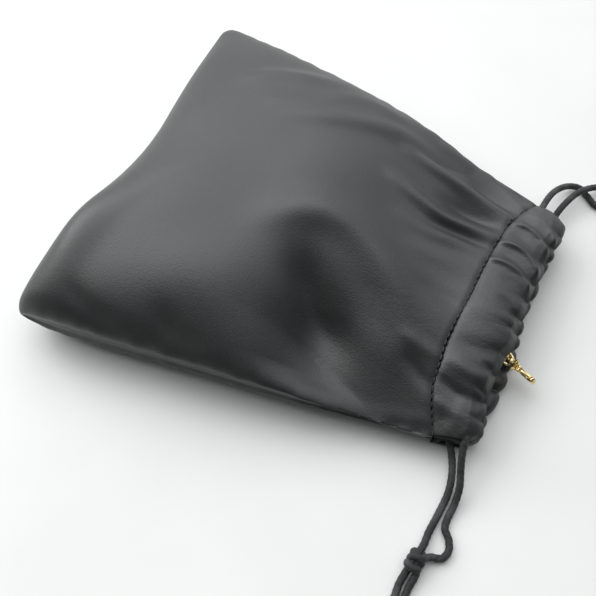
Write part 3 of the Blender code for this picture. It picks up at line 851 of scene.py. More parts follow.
@dataclass
class PouchShape:
    """The pouch's outer leather, as functions of a place along and across it."""

    stitch_x: float = 0.0550
    base_half_width: float = 0.0830
    stitch_half_width: float = 0.0550
    corner: float = 0.0050
    seam_tuck: float = 0.0013
    near_seam_tuck: float = 0.0010
    seam_z: float = 0.0150
    seam_mouth_z: float = 0.0094
    body_rise: float = 0.0220
    gap: float = 0.0003
    leather: float = 0.0010

    def half_width(self, x: np.ndarray, across: np.ndarray) -> np.ndarray:
        """Half the pouch's width at x, on the side that across points to."""
        near = np.interp(x, *NEAR_SIDE_Y)
        far = np.interp(x, *FAR_SIDE_Y)
        return near + (far - near) * ease(0.5 + across)

    def seam_height(self, x: np.ndarray) -> np.ndarray:
        """Height of the side seams at x."""
        return self.seam_z + (self.seam_mouth_z - self.seam_z) * ease(x / self.stitch_x)

    def place(self, along: np.ndarray, across: np.ndarray, layer: Layer) -> np.ndarray:
        """Points on the outer leather before its folds.

        Args:
            along: shares from the bottom edge to the hem's stitch line.
            across: shares from the near side (-1) to the far side (1).
            layer: which panel.

        Returns:
            The points, with x, y and z along the last axis.
        """
        bite = self.corner * np.maximum(0, (np.abs(across) - 0.90) / 0.10) ** 2.4
        start = np.interp(across * self.base_half_width, *BOTTOM_X) + bite
        line = np.interp(across * self.stitch_half_width * 1.012, *STITCH_X)
        x = start + along * (line - start)
        aside = 1 - np.abs(across)
        more = (across < 0) * (1 + 0.9 * (layer is Layer.BACK))
        deep = self.seam_tuck + self.near_seam_tuck * more
        tuck = deep * np.exp(-(aside / 0.016) ** 2)
        tuck = tuck * ease((1 - along) / 0.2)
        y = across * (self.half_width(x, across) - tuck)
        flat = ease(-1.6 * across) * (1 - ease((along - 0.12) / 0.34))
        square = 2.6 + 1.2 * ease(along) + 3.2 * flat
        body = (1 - np.abs(across) ** square) ** 0.55
        mouth = (1 - np.abs(across) ** 2.4) ** 0.75
        crown = body + (mouth - body) * ease((along - 0.55) / 0.45)
        reach = 0.36 - 0.23 * ease(0.5 - across * 1.1)
        edge = (1 - (1 - np.minimum(along / reach, 1)) ** 2.3) ** 0.5
        seam = self.seam_height(x)
        if layer is Layer.FRONT:
            rise = self.body_rise * body * edge * (1 - 0.10 * flat * ease(-1.2 * across))
            top = np.maximum(np.interp(y, *STITCH_Z) - seam, 0)
            z = seam + self.gap / 2 + rise + (top - rise) * ease((along - 0.42) / 0.58)
            z = np.where(crown <= 0, seam + self.gap / 2, z)
            return np.stack([x, y, z], -1)
        z = np.maximum(0, (seam - self.gap / 2) * (1 - 1.35 * edge * crown))
        return np.stack([x, y, z], -1)

    def puckers(self, x: np.ndarray, across: np.ndarray) -> np.ndarray:
        """Small pinches that the side seams pull into the leather."""
        aside = 1 - np.abs(across)
        near = np.exp(-(aside / 0.05) ** 2) * (1 - np.exp(-(aside / 0.008) ** 2))
        wave = (np.sin(x / MM * 0.36 + 1.9 * np.sin(x / MM * 0.13)) * 0.6
                + np.sin(x / MM * 0.71 + 2.0 + 1.2 * np.sin(x / MM * 0.09)) * 0.4)
        return 0.00030 * near * wave

    def unevenness(self, x: np.ndarray, y: np.ndarray) -> np.ndarray:
        """Low waves of soft leather over loose filling."""
        total = np.zeros(x.shape)
        for kx, ky, phase, size in ((0.070, 0.031, 0.4, 0.35), (0.045, -0.062, 1.9, 0.30),
                                    (0.120, 0.090, 2.7, 0.16), (-0.098, 0.130, 4.1, 0.14),
                                    (0.190, -0.070, 5.2, 0.08), (0.060, 0.210, 0.9, 0.07)):
            total += size * np.sin(kx * x / MM + ky * y / MM + phase)
        return total * MM


@dataclass
class PouchBody:
    """The two panels, the lining bag and the turned-in seams."""

    shape: PouchShape
    leather: bpy.types.Material
    cloth: bpy.types.Material
    rows: int = 230
    columns: int = 240
    blend_start: float = 0.0415
    blend_end: float = 0.0620
    lining_cloth: float = 0.0005
    seam_allowance: float = 0.0050
    seam_half_height: float = 0.0008

    def dress(self, obj: bpy.types.Object, side: Side, slot: Slot, *nodes: str) -> None:
        """Bake a soft piece's place into its mesh and hide the parts that it replaces."""
        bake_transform(obj)
        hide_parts(*nodes)
        LOG.info("%s: %d faces", obj.name, len(obj.data.polygons))

    def grid(self, layer: Layer) -> tuple[np.ndarray, np.ndarray, np.ndarray]:
        """Outer points, their outward normals and how creased they are, of one panel."""
        u = np.linspace(0, 1, self.rows) ** 1.25
        v = np.sin(math.pi / 2 * np.linspace(-1, 1, self.columns + 1))
        along, across = np.meshgrid(u, v, indexing="ij")
        base = self.shape.place(along, across, layer)
        normal = grid_normals(base, False)
        normal *= np.sign(normal[self.rows // 2, self.columns // 2, 2]) * layer.value
        x, y = base[..., 0], base[..., 1]
        free = ease((1 - np.abs(across)) / 0.16) * ease(along / 0.05)
        lift = self.shape.puckers(x, across) * ease(along / 0.1) * ease((1 - along) / 0.05)
        line_x = np.interp(y, *STITCH_X)
        if layer is Layer.FRONT:
            folds = sum(f.lift(x, y) for f in BODY_FOLDS)
            hem = sum(f.lift(x, y) for f in HEM_FOLDS) * 0.5
            groove = -0.0005 * np.exp(-((1 - along) / 0.006) ** 2)
            close = ease((x - line_x + 0.020) / 0.020)
            lift = lift + (folds + hem * close) * free + groove
            lift = lift + self.shape.unevenness(x, y) * free * ease((1 - along) / 0.12)
            full = np.exp(-((y + 0.044) / 0.030) ** 2) * ease((1 - np.abs(across)) / 0.12)
            lift = lift + 0.0022 * full * np.exp(-((along - 0.04) / 0.06) ** 2)
        else:
            lift = lift + self.shape.unevenness(x + 0.05, y) * 0.5 * free
            under = ease((base[..., 2] - 0.0006) / 0.004)
            lift = lift * under
        moved = base + normal * lift[..., None]
        moved[..., 2] = np.maximum(moved[..., 2], 0.0)
        shaded = grid_normals(moved, False)
        shaded *= np.sign(np.sum(shaded * normal, -1, keepdims=True))
        strain = ease(np.abs(lift) / 0.004) * 0.35 + 0.55 * ease((along - 0.72) / 0.28)
        creased = strain + 0.25 * np.exp(-((1 - np.abs(across)) / 0.05) ** 2)
        return moved, shaded, np.clip(creased, 0, 1)

    def panels(self) -> None:
        """Both panels, each as a near and a far half."""
        for layer in Layer:
            outer, normal, creased = self.grid(layer)
            depth = np.minimum(self.shape.leather, 0.45 * np.abs(
                outer[..., 2:] - self.shape.seam_height(outer[..., :1])) + 0.0002)
            inner = outer - normal * depth
            inner[..., 2] = np.maximum(inner[..., 2], 0.0004 if layer is Layer.BACK else 0.001)
            middle = self.columns // 2
            for side in Side:
                cut = slice(0, middle + 1) if side is Side.NEAR else slice(middle, None)
                wear = {"creased": creased[:, cut], "edge": np.zeros_like(creased[:, cut])}
                obj = shell_piece(f"{layer.label}_panel_{side.label}", outer[:, cut],
                                  inner[:, cut], False, self.leather,
                                  (normal[:, cut], -normal[:, cut]), wear)
                self.dress(obj, side, Slot.LEATHER, f"{layer.label}_panel")
            LOG.info("%s panel rises to %.1f mm", layer.label, outer[..., 2].max() / MM)

    def lining(self) -> None:
        """The lining bag, a near and a far half, a little inside the leather."""
        u = np.linspace(0.10, 0.985, 60)
        v = np.linspace(0, 1, 70)
        for side in Side:
            sheets = []
            for layer in Layer:
                across = side.value * (v if layer is Layer.FRONT else v[::-1])
                along, over = np.meshgrid(u, across, indexing="ij")
                points = self.shape.place(along, over, layer)
                seam = self.shape.seam_height(points[..., 0])
                points[..., 1] *= 1 - 0.008 / self.shape.half_width(points[..., 0], over)
                if layer is Layer.FRONT:
                    points[..., 2] += np.minimum(0, sum(
                        f.lift(points[..., 0], points[..., 1]) for f in BODY_FOLDS)) - 0.0012
                deep = points[..., 2] - seam
                keep = np.maximum(0, np.abs(deep) - 0.0026) / np.maximum(np.abs(deep), 1e-6)
                points[..., 2] = seam + deep * keep
                sheets.append(points)
            outer = np.concatenate([sheets[0], sheets[1][:, 1:]], 1)
            normal = grid_normals(outer, False)
            normal *= np.sign(normal[30, 10, 2])
            inner = outer - normal * self.lining_cloth
            obj = shell_piece(f"lining_{side.label}", outer, inner, False, self.cloth,
                              (normal, -normal))
            self.dress(outwards(obj), side, Slot.LINING, "lining")

    def seams(self) -> None:
        """The turned-in allowance along both sides and the bottom."""
        for side in Side:
            x = np.linspace(-0.0760, 0.0560, 70)
            y = side.value * (self.shape.half_width(x, np.full(x.shape, float(side.value)))
                              - 0.0026 - self.seam_allowance / 2)
            line = np.stack([x, y, self.shape.seam_height(x)], 1)
            obj = self.allowance(f"{side.label}_seam_turned_in", line)
            self.dress(obj, side, Slot.LEATHER, f"{side.label}_side_seam")
        y = np.linspace(-0.0640, 0.0640, 60)
        line = np.stack([np.interp(y, *BOTTOM_X) + 0.0062, y,
                         np.full(y.shape, self.shape.seam_z)], 1)
        obj = self.allowance("bottom_seam_turned_in", line)
        ride_on(obj, "pouch", Slot.LEATHER, "bottom_seam")

    def allowance(self, name: str, line: np.ndarray) -> bpy.types.Object:
        """Two layers of leather sewn together and turned in, along a line."""
        tangent = unit(np.gradient(line, axis=0))
        aside = unit(np.cross(tangent, UP))
        wide, high = squared_ring(20, 0.3, 0.6)
        wave = self.seam_allowance / 2 * (1 + 0.04 * np.sin(np.arange(len(line)) * 1.1))
        points = (line[:, None] + aside[:, None] * (wide[None, :] * wave[:, None])[..., None]
                  + UP * (high * self.seam_half_height)[None, :, None])
        faces = ring_faces(len(line), len(wide))
        return outwards(mesh_piece(name, points.reshape(-1, 3), faces, self.leather), 50)

    def build(self) -> None:
        """Make the body."""
        self.panels()
        self.lining()
        self.seams()


@dataclass
class Hems:
    """The folded and gathered channels round the mouth."""

    body: PouchBody
    wall: float = 0.0010
    across: int = 301
    steps: int = 44
    half_stitch: float = 0.0548
    half_lip: float = 0.0515
    front_mouth_z: float = 0.0118
    back_mouth_z: float = 0.0069
    back_middle_z: float = 0.0046
    end_closing: float = 0.0020
    run_bend_y: float = 0.0425
    run_bend_radius: float = 0.0128
    run_from_x: float = 0.0575
    run_cover_z: float = 0.0098
    run_rise: float = 0.0068
    cover_low: float = 0.0092
    cover_blend: float = 0.0013

    def ruffle(self, y: np.ndarray) -> np.ndarray:
        """Small irregular gathers along the lips, from -1 in a pinch to 1 on a puff."""
        phase = y / MM / 4.3 + 0.35 * np.sin(y / MM / 7.3) + 0.2 * np.sin(y / MM / 3.1 + 1)
        return 1 - 2 * (1 - np.abs(np.sin(phase * math.pi / 2))) ** 1.4

    def cord_cover(self, x: np.ndarray, y: np.ndarray, lip: np.ndarray) -> np.ndarray:
        """The lowest that the front hem may be so that the cord's run stays under it."""
        bend = np.clip((np.abs(y) - self.run_bend_y) / self.run_bend_radius, 0, 1)
        full = self.run_cover_z + self.run_rise * np.sqrt(1 - bend ** 2)
        over = (ease((x - self.run_from_x) / 0.0120)
                * np.sqrt(np.clip((lip - x) / 0.0060, 0, 1)))
        return self.cover_low + (full - self.cover_low) * over

    def ring(self, layer: Layer) -> tuple[np.ndarray, np.ndarray, np.ndarray, np.ndarray]:
        """Outer and inner grids of one hem, its normals, and how close it is to its lip."""
        s = np.linspace(-1, 1, self.across)[:, None]
        k = np.arange(self.steps + 1) / self.steps
        t = np.concatenate([np.sin(math.pi / 2 * k), np.sin(math.pi / 2 * k[-2::-1])])[None]
        on_top = np.concatenate([np.ones(self.steps + 1), np.zeros(self.steps)])[None] > 0.5
        y_stitch, y_lip = s * self.half_stitch, s * self.half_lip
        y = y_stitch + (y_lip - y_stitch) * t
        pinch = self.ruffle(y_lip + 0.004 * (1 - t))
        at_lip = pinch[:, self.steps:self.steps + 1]
        closing = self.end_closing * np.abs(s) ** 6
        if layer is Layer.FRONT:
            start = np.interp(y_stitch, *STITCH_X) + 0.0002
            lip = np.interp(y_lip, *FRONT_LIP_X) + 0.0002 * at_lip
            high = np.interp(y_stitch, *STITCH_Z)
            edge = np.interp(y_lip, *FRONT_LIP_Z) + 0.0004 * at_lip
            mouth = self.front_mouth_z - closing
        else:
            start = np.interp(y_stitch, *STITCH_X) + 0.0006
            lip = np.interp(y_lip, *BACK_LIP_X) + 0.0007 * at_lip
            edge = 0.0036 + 0.0007 * at_lip
            mouth = self.back_mouth_z + closing
        x = start + (lip - start) * t
        if layer is Layer.FRONT:
            outer = edge + (high - edge) * (1 - t ** 2.2) ** 0.6
            puff = 0.0010 * np.sin(math.pi * t) ** 0.7 + 0.0003 * pinch * ease(t - 0.2)
            folds = sum(f.lift(x, y) for f in HEM_FOLDS)
            outer = outer + (puff + folds) * ease((1 - t) / 0.12 + 0.15)
            outer = outer - 0.0005 * np.exp(-(t / 0.06) ** 2)
            short = (self.cord_cover(x, y, lip) - outer) / self.cover_blend
            outer = outer + np.log1p(np.exp(short)) * self.cover_blend
            outer = edge + (outer - edge) * np.sqrt(np.clip((1 - t) / 0.14, 0, 1))
            low = (high - 0.0020) + (mouth - high + 0.0020) * ease(t / 0.35)
            low = edge + (low - edge) * np.sqrt(np.maximum(1 - t ** 3, 0))
            low = np.minimum(low, outer - 0.0012 * np.sqrt(np.maximum(1 - t ** 6, 0)))
        else:
            low = edge + (mouth - edge) * np.sqrt(np.maximum(1 - t ** 3, 0))
            low = low + 0.0006 * pinch * ease(t / 0.5) * ease((1 - t) / 0.1)
            outer = edge * (1 - np.sqrt(np.maximum(1 - t ** 4, 0)))
            low = 0.0020 + (low - 0.0020) * ease(t / 0.3 + 0.05)
            squeeze = np.sqrt(1 - 0.72 * np.clip((np.abs(s) - 0.86) / 0.14, 0, 1) ** 2)
            outer = self.back_middle_z + (outer - self.back_middle_z) * squeeze
            low = self.back_middle_z + (low - self.back_middle_z) * squeeze
        z = np.where(on_top, outer, low)
        grid = np.stack([x + 0 * y, y, z], -1)
        normal = grid_normals(grid, True)
        normal *= np.sign(normal[self.across // 2, self.steps // 2, 2]) * layer.value
        inner = grid - normal * self.wall
        inner[..., 2] = np.maximum(inner[..., 2], 0.0003)
        return grid, inner, normal, np.broadcast_to(np.exp(-((1 - t) / 0.06) ** 2), y.shape)

    def build(self) -> None:
        """Make both hems, each as a near and a far half."""
        for layer in Layer:
            outer, inner, normal, edge = self.ring(layer)
            middle = self.across // 2
            for side in Side:
                cut = slice(0, middle + 1) if side is Side.NEAR else slice(middle, None)
                wear = np.clip(edge[cut] * 0.5, 0, 1)
                obj = shell_piece(f"{layer.label}_hem_{side.label}", outer[cut], inner[cut],
                                  True, self.body.leather, (normal[cut], -normal[cut]),
                                  {"creased": np.full(edge[cut].shape, 0.9), "edge": wear})
                self.body.dress(obj, side, Slot.LEATHER, f"{layer.label}_hem")


# ---- stitching ----------------------------------------------------------------------------
@dataclass(frozen=True)
class StitchTree:
    """A Geometry Nodes tree that lays one thread stitch after another along a line."""

    pitch: float
    length: float
    thickness: float
    seed: int = 7
    lean: float = 0.07

    def tree(self, finish: bpy.types.Material) -> bpy.types.NodeTree:
        """Build the tree; its sizes are named inputs."""
        made = bpy.data.node_groups.new("stitch_row", "GeometryNodeTree")
        made.is_modifier = True
        face = made.interface
        face.new_socket("Line", in_out="INPUT", socket_type="NodeSocketGeometry")
        for label, value in (("Pitch", self.pitch), ("Stitch Length", self.length),
                             ("Thickness", self.thickness)):
            face.new_socket(label, in_out="INPUT",
                            socket_type="NodeSocketFloat").default_value = value
        face.new_socket("Seed", in_out="INPUT",
                        socket_type="NodeSocketInt").default_value = self.seed
        face.new_socket("Stitches", in_out="OUTPUT", socket_type="NodeSocketGeometry")
        b = NodeBench(made)
        ends, out = b.add("NodeGroupInput"), b.add("NodeGroupOutput")
        curve = b.add("GeometryNodeMeshToCurve", Mesh=ends.outputs["Line"])
        even = b.add("GeometryNodeResampleCurve", mode="LENGTH", Curve=curve.outputs["Curve"],
                     Length=ends.outputs["Pitch"])
        bead = b.add("GeometryNodeMeshUVSphere", Segments=10, Rings=8, Radius=0.5)
        size = b.add("ShaderNodeCombineXYZ", X=ends.outputs["Stitch Length"],
                     Y=ends.outputs["Thickness"], Z=ends.outputs["Thickness"])
        shaped = b.add("GeometryNodeTransform", Geometry=bead.outputs["Mesh"],
                       Scale=size.outputs["Vector"])
        smooth = b.add("GeometryNodeSetShadeSmooth", Geometry=shaped.outputs["Geometry"])
        align = b.add("FunctionNodeAlignRotationToVector", axis="X")
        tangent = b.add("GeometryNodeInputTangent")
        lean = b.add("FunctionNodeRandomValue", data_type="FLOAT_VECTOR",
                     Min=(-self.lean,) * 3, Max=(self.lean,) * 3, Seed=ends.outputs["Seed"])
        nudged = b.add("ShaderNodeVectorMath", operation="ADD")
        b.join(tangent.outputs["Tangent"], nudged.inputs[0])
        b.join(lean.outputs[0], nudged.inputs[1])
        b.join(nudged.outputs["Vector"], align.inputs["Vector"])
        lay = b.add("GeometryNodeInstanceOnPoints", Points=even.outputs["Curve"],
                    Instance=smooth.outputs["Geometry"], Rotation=align.outputs["Rotation"])
        real = b.add("GeometryNodeRealizeInstances", Geometry=lay.outputs["Instances"])
        finished = b.add("GeometryNodeSetMaterial", Material=finish,
                         Geometry=real.outputs["Geometry"])
        b.join(finished.outputs["Geometry"], out.inputs["Stitches"])
        return made

    def sew(self, name: str, line: np.ndarray, finish: bpy.types.Material) -> bpy.types.Object:
        """Lay the stitches along a line, as one plain mesh.

        Args:
            name: the object's name.
            line: n x 3 points.
            finish: the thread's material.

        Returns:
            The stitches.
        """
        mesh = bpy.data.meshes.new(name + "_line")
        mesh.from_pydata(line.tolist(), [(i, i + 1) for i in range(len(line) - 1)], [])
        guide = bpy.data.objects.new(name + "_line", mesh)
        bpy.context.scene.collection.objects.link(guide)
        modifier = guide.modifiers.new("stitches", "NODES")
        tree = self.tree(finish)
        modifier.node_group = tree
        sizes = {"Pitch": self.pitch, "Stitch Length": self.length,
                 "Thickness": self.thickness, "Seed": self.seed}
        for item in tree.interface.items_tree:
            if item.in_out == "INPUT" and item.name in sizes:
                modifier[item.identifier] = sizes[item.name]
        bpy.context.view_layer.update()
        graph = bpy.context.evaluated_depsgraph_get()
        baked = bpy.data.meshes.new_from_object(guide.evaluated_get(graph))
        bpy.data.objects.remove(guide)
        baked.name = name
        if not baked.materials:
            baked.materials.append(finish)
        obj = bpy.data.objects.new(name, baked)
        bpy.context.scene.collection.objects.link(obj)
        return obj


@dataclass
class Sewing:
    """The thread rows of both hems, with the loose ends at the near slit."""

    body: PouchBody
    thread: bpy.types.Material
    back_z: float = 0.0058
    row: StitchTree = StitchTree(pitch=0.0029, length=0.0024, thickness=0.00062)

    def line(self, layer: Layer, side: Side) -> np.ndarray:
        """The line of one half of a hem's thread row."""
        start = 0.0016 if side is Side.FAR else 0.0
        y = side.value * np.linspace(start, 0.0530, 80)
        x = np.interp(y, *STITCH_X) + 0.0001
        if layer is Layer.FRONT:
            share = y / 0.0548
            z = np.interp(y, *STITCH_Z) + 0.5 * sum(
                f.lift(x, y) for f in HEM_FOLDS) * ease((1 - np.abs(share)) / 0.16)
            z = z + sum(f.lift(x, y) for f in BODY_FOLDS) * ease((1 - np.abs(share)) / 0.16)
            return np.stack([x, y, z - 0.00025], 1)
        return np.stack([x + 0.0022, y, np.full(y.shape, self.back_z)], 1)

    def loose_ends(self) -> list[tuple[np.ndarray, list]]:
        """Two thread ends that stick out where the near end of the row is tied off."""
        parts = []
        for bend in ((0.0004, -0.0036, -0.0010), (-0.0016, -0.0028, -0.0018)):
            start = np.array([0.0632, -0.0535, 0.0120])
            route = np.stack([start, start + np.array(bend) * 0.4 + [0, 0, 0.0006],
                              start + np.array(bend)])
            line = smooth_route(route, 0.0004)
            parts.append(tube_arrays(line, np.full((len(line), 8), 0.00016)))
        return parts

    def build(self) -> None:
        """Sew both rows, each as a near and a far half."""
        for layer in Layer:
            for side in Side:
                name = f"{layer.label}_hem_stitching_{side.label}"
                obj = self.row.sew(name, self.line(layer, side), self.thread)
                if layer is Layer.FRONT and side is Side.NEAR:
                    sewn = np.array([tuple(v.co) for v in obj.data.vertices])
                    faces = [tuple(p.vertices) for p in obj.data.polygons]
                    points, faces = joined([(sewn, faces), *self.loose_ends()])
                    bpy.data.objects.remove(obj)
                    obj = outwards(mesh_piece(name, points, faces, self.thread))
                self.body.dress(obj, side, Slot.THREAD, f"{layer.label}_hem_stitching")


# ---- the drawcords ------------------------------------------------------------------------
@dataclass(frozen=True)
class CordRoutes:
    """Where one drawcord lies; every point is in metres."""

    back: tuple
    front: tuple
    knot: tuple[float, float, float]
    knot_turn: float
    tails: tuple
    front_run_x: float
    back_run_x: float


NEAR_CORD = CordRoutes(
    back=((0.0685, -0.0500, 0.0044), (0.0724, -0.0556, 0.0043), (0.0753, -0.0618, 0.0034),
          (0.0769, -0.0690, 0.0020), (0.0766, -0.0770, 0.0014), (0.0758, -0.0850, 0.0016),
          (0.0757, -0.0905, 0.0024)),
    front=((0.0745, -0.0500, 0.0134), (0.0756, -0.0556, 0.0106), (0.0776, -0.0612, 0.0076),
           (0.0798, -0.0668, 0.0046), (0.0804, -0.0725, 0.0022), (0.0801, -0.0778, 0.0014),
           (0.0806, -0.0816, 0.0014), (0.0832, -0.0846, 0.0014), (0.0845, -0.0882, 0.0014),
           (0.0832, -0.0916, 0.0016), (0.0792, -0.0932, 0.0024)),
    knot=(0.0752, -0.0964, 0.0032), knot_turn=-98.0,
    tails=(((0.0736, -0.1012, 0.0022), (0.0730, -0.1060, 0.0014), (0.0732, -0.1120, 0.0014),
            (0.0722, -0.1190, 0.0014), (0.0690, -0.1260, 0.0014), (0.0640, -0.1310, 0.0014)),
           ((0.0770, -0.1008, 0.0022), (0.0764, -0.1060, 0.0014), (0.0764, -0.1120, 0.0014),
            (0.0758, -0.1180, 0.0014), (0.0752, -0.1250, 0.0014), (0.0762, -0.1330, 0.0014))),
    front_run_x=0.0745, back_run_x=0.0685)

FAR_CORD = CordRoutes(
    back=((0.0745, 0.0500, 0.0044), (0.0749, 0.0560, 0.0052), (0.0762, 0.0622, 0.0060),
          (0.0784, 0.0685, 0.0066), (0.0812, 0.0740, 0.0062), (0.0850, 0.0790, 0.0044),
          (0.0900, 0.0836, 0.0024), (0.0960, 0.0870, 0.0014), (0.1030, 0.0880, 0.0020)),
    front=((0.0685, 0.0500, 0.0134), (0.0688, 0.0560, 0.0118), (0.0698, 0.0630, 0.0098),
           (0.0718, 0.0700, 0.0064), (0.0754, 0.0760, 0.0034), (0.0804, 0.0786, 0.0018),
           (0.0850, 0.0762, 0.0014), (0.0892, 0.0736, 0.0014), (0.0940, 0.0738, 0.0014),
           (0.0990, 0.0780, 0.0014), (0.1032, 0.0834, 0.0020)),
    knot=(0.1078, 0.0872, 0.0032), knot_turn=32.0,
    tails=(((0.1122, 0.0900, 0.0022), (0.1164, 0.0930, 0.0014), (0.1204, 0.0976, 0.0014),
            (0.1232, 0.1034, 0.0014), (0.1240, 0.1096, 0.0014), (0.1226, 0.1156, 0.0014)),
           ((0.1128, 0.0874, 0.0022), (0.1176, 0.0892, 0.0014), (0.1232, 0.0924, 0.0014),
            (0.1282, 0.0968, 0.0014), (0.1312, 0.1026, 0.0014), (0.1326, 0.1090, 0.0014))),
    front_run_x=0.0685, back_run_x=0.0745)


@dataclass
class Drawcord:
    """One braided drawcord: its run through both hems, its strands, knot and tails."""

    side: Side
    routes: CordRoutes
    finish: bpy.types.Material
    radius: float = 0.00135
    turn_y: float = 0.0460
    front_run_z: float = 0.0134
    back_run_z: float = 0.0044
    plaits: int = 6
    cell: float = 0.00115

    def plait(self, sides: int, advance: np.ndarray) -> tuple[np.ndarray, np.ndarray]:
        """Which way the top strand runs at each point of the braid, and how high it stands."""
        turn = self.plaits * (np.arange(sides) / sides)[None] / 2
        first, second = turn + advance, turn - advance
        over = np.sin(math.pi * (first + second)) * np.sin(math.pi * (first - second)) > 0
        return over, np.abs(np.sin(math.pi * np.where(over, first, second)))

    def braided(self, name: str, line: np.ndarray, sides: int, relief: float,
                taper: bool = False) -> bpy.types.Object:
        """A tube whose surface is raised in crossing plaits.

        Args:
            name: the object's name.
            line: n x 3 ring centres.
            sides: points round each ring.
            relief: height of the plaits, as a share of the radius.
            taper: whether the far end is cut and sealed to a soft point.

        Returns:
            The cord.
        """
        steps = distances(line)
        over, bump = self.plait(sides, steps[:, None] / self.cell / 2)
        bump = bump * (0.75 + 0.25 * over)
        radii = self.radius * (1 - relief + 1.25 * relief * bump ** 0.7)
        if taper:
            end = steps[-1] - steps
            radii = radii * (0.55 + 0.45 * np.sqrt(np.clip(end / 0.0008, 0, 1)))[:, None]
        points, faces = tube_arrays(line, radii)
        return outwards(mesh_piece(name, points, faces, self.finish))

    def strand_line(self, strand: tuple, offset: float, tail: tuple) -> np.ndarray:
        """Ring centres from the hem, through the knot, to the tail's end."""
        turn = math.radians(self.routes.knot_turn)
        centre = np.array(self.routes.knot)
        aside = np.array([-math.sin(turn), math.cos(turn), 0.0]) * offset
        route = np.concatenate([np.array(strand), [centre + aside], np.array(tail)])
        return smooth_route(route, 0.00026)

    def run_line(self) -> np.ndarray:
        """Ring centres of the run through both hems, with its turn at the other side."""
        far = -self.side.value
        front = np.array([self.routes.front_run_x, far * self.turn_y, self.front_run_z])
        back = np.array([self.routes.back_run_x, far * self.turn_y, self.back_run_z])
        middle, spoke = (front + back) / 2, (front - back) / 2
        reach = np.array([0, far * np.linalg.norm(spoke), 0])
        shares = (0.0494, 0.035, 0.012, -0.012, -0.034)
        route = [(front[0], y * self.side.value, self.front_run_z) for y in shares]
        for i in range(9):
            turn = math.pi * i / 8
            route.append(tuple(middle + spoke * math.cos(turn) + reach * math.sin(turn)))
        route += [(back[0], y * self.side.value, self.back_run_z) for y in shares[::-1]]
        return smooth_route(np.array(route), 0.0006)

    def knot(self) -> bpy.types.Object:
        """An overhand knot of both strands: three turns of cord round the pair."""
        turn = math.radians(self.routes.knot_turn)
        centre = np.array(self.routes.knot)
        ahead = np.array([math.cos(turn), math.sin(turn), 0.0])
        aside = np.array([-math.sin(turn), math.cos(turn), 0.0])
        parts = []
        for shift, lean, phase in ((-0.0021, 0.9, 0.3), (0.0002, -0.9, 2.2), (0.0023, 0.8, 4.0)):
            angle = np.linspace(0, math.tau, 61)[:-1] + phase
            wide, high, slide = 0.0021, 0.0016, 0.0012 * lean
            line = (centre + ahead * (shift + slide * np.sin(angle))[:, None]
                    + aside * (wide * np.cos(angle))[:, None]
                    + UP * (high * np.sin(angle))[:, None])
            parts.append(self.ring_tube(line))
        points, faces = joined(parts)
        points[:, 2] = np.maximum(points[:, 2], 0.0001)
        name = f"{self.side.label}_cord_knot_turns"
        return outwards(mesh_piece(name, points, faces, self.finish))

    def ring_tube(self, line: np.ndarray) -> tuple[np.ndarray, list]:
        """A closed loop of the same braid."""
        count, sides = len(line), 20
        tangent = unit(np.roll(line, -1, 0) - np.roll(line, 1, 0))
        inward = unit(line.mean(0) - line)
        u = unit(inward - tangent * np.sum(inward * tangent, 1, keepdims=True))
        v = np.cross(tangent, u)
        turn = np.arange(sides) * math.tau / sides
        _, bump = self.plait(sides, np.arange(count)[:, None] / count * 7.0)
        radii = self.radius * 0.98 * (0.9 + 0.15 * bump)
        points = line[:, None] + radii[..., None] * (np.cos(turn)[None, :, None] * u[:, None]
                                                     + np.sin(turn)[None, :, None] * v[:, None])
        return points.reshape(-1, 3), ring_faces(count, sides, True)

    def build(self) -> None:
        """Make the cord's pieces."""
        label = self.side.label
        body = f"{label}_drawcord"
        run = self.braided(f"{label}_cord_run", self.run_line(), 16, 0.03)
        ride_on(run, body, Slot.CORD, body)
        knot = self.knot()
        ride_on(knot, body, Slot.CORD, f"{label}_cord_knot")
        pairs = ((self.routes.back, -1, self.routes.tails[0], 1),
                 (self.routes.front, 1, self.routes.tails[1], 2))
        for strand, sign, tail, number in pairs:
            offset = sign * 0.0008 * (1 if self.side is Side.NEAR else -1)
            line = self.strand_line(strand, offset, tail)
            obj = self.braided(f"{label}_cord_strand_{number}", line, 32, 0.20, True)
            ride_on(obj, body, Slot.CORD, body, f"{label}_cord_tail_{number}")


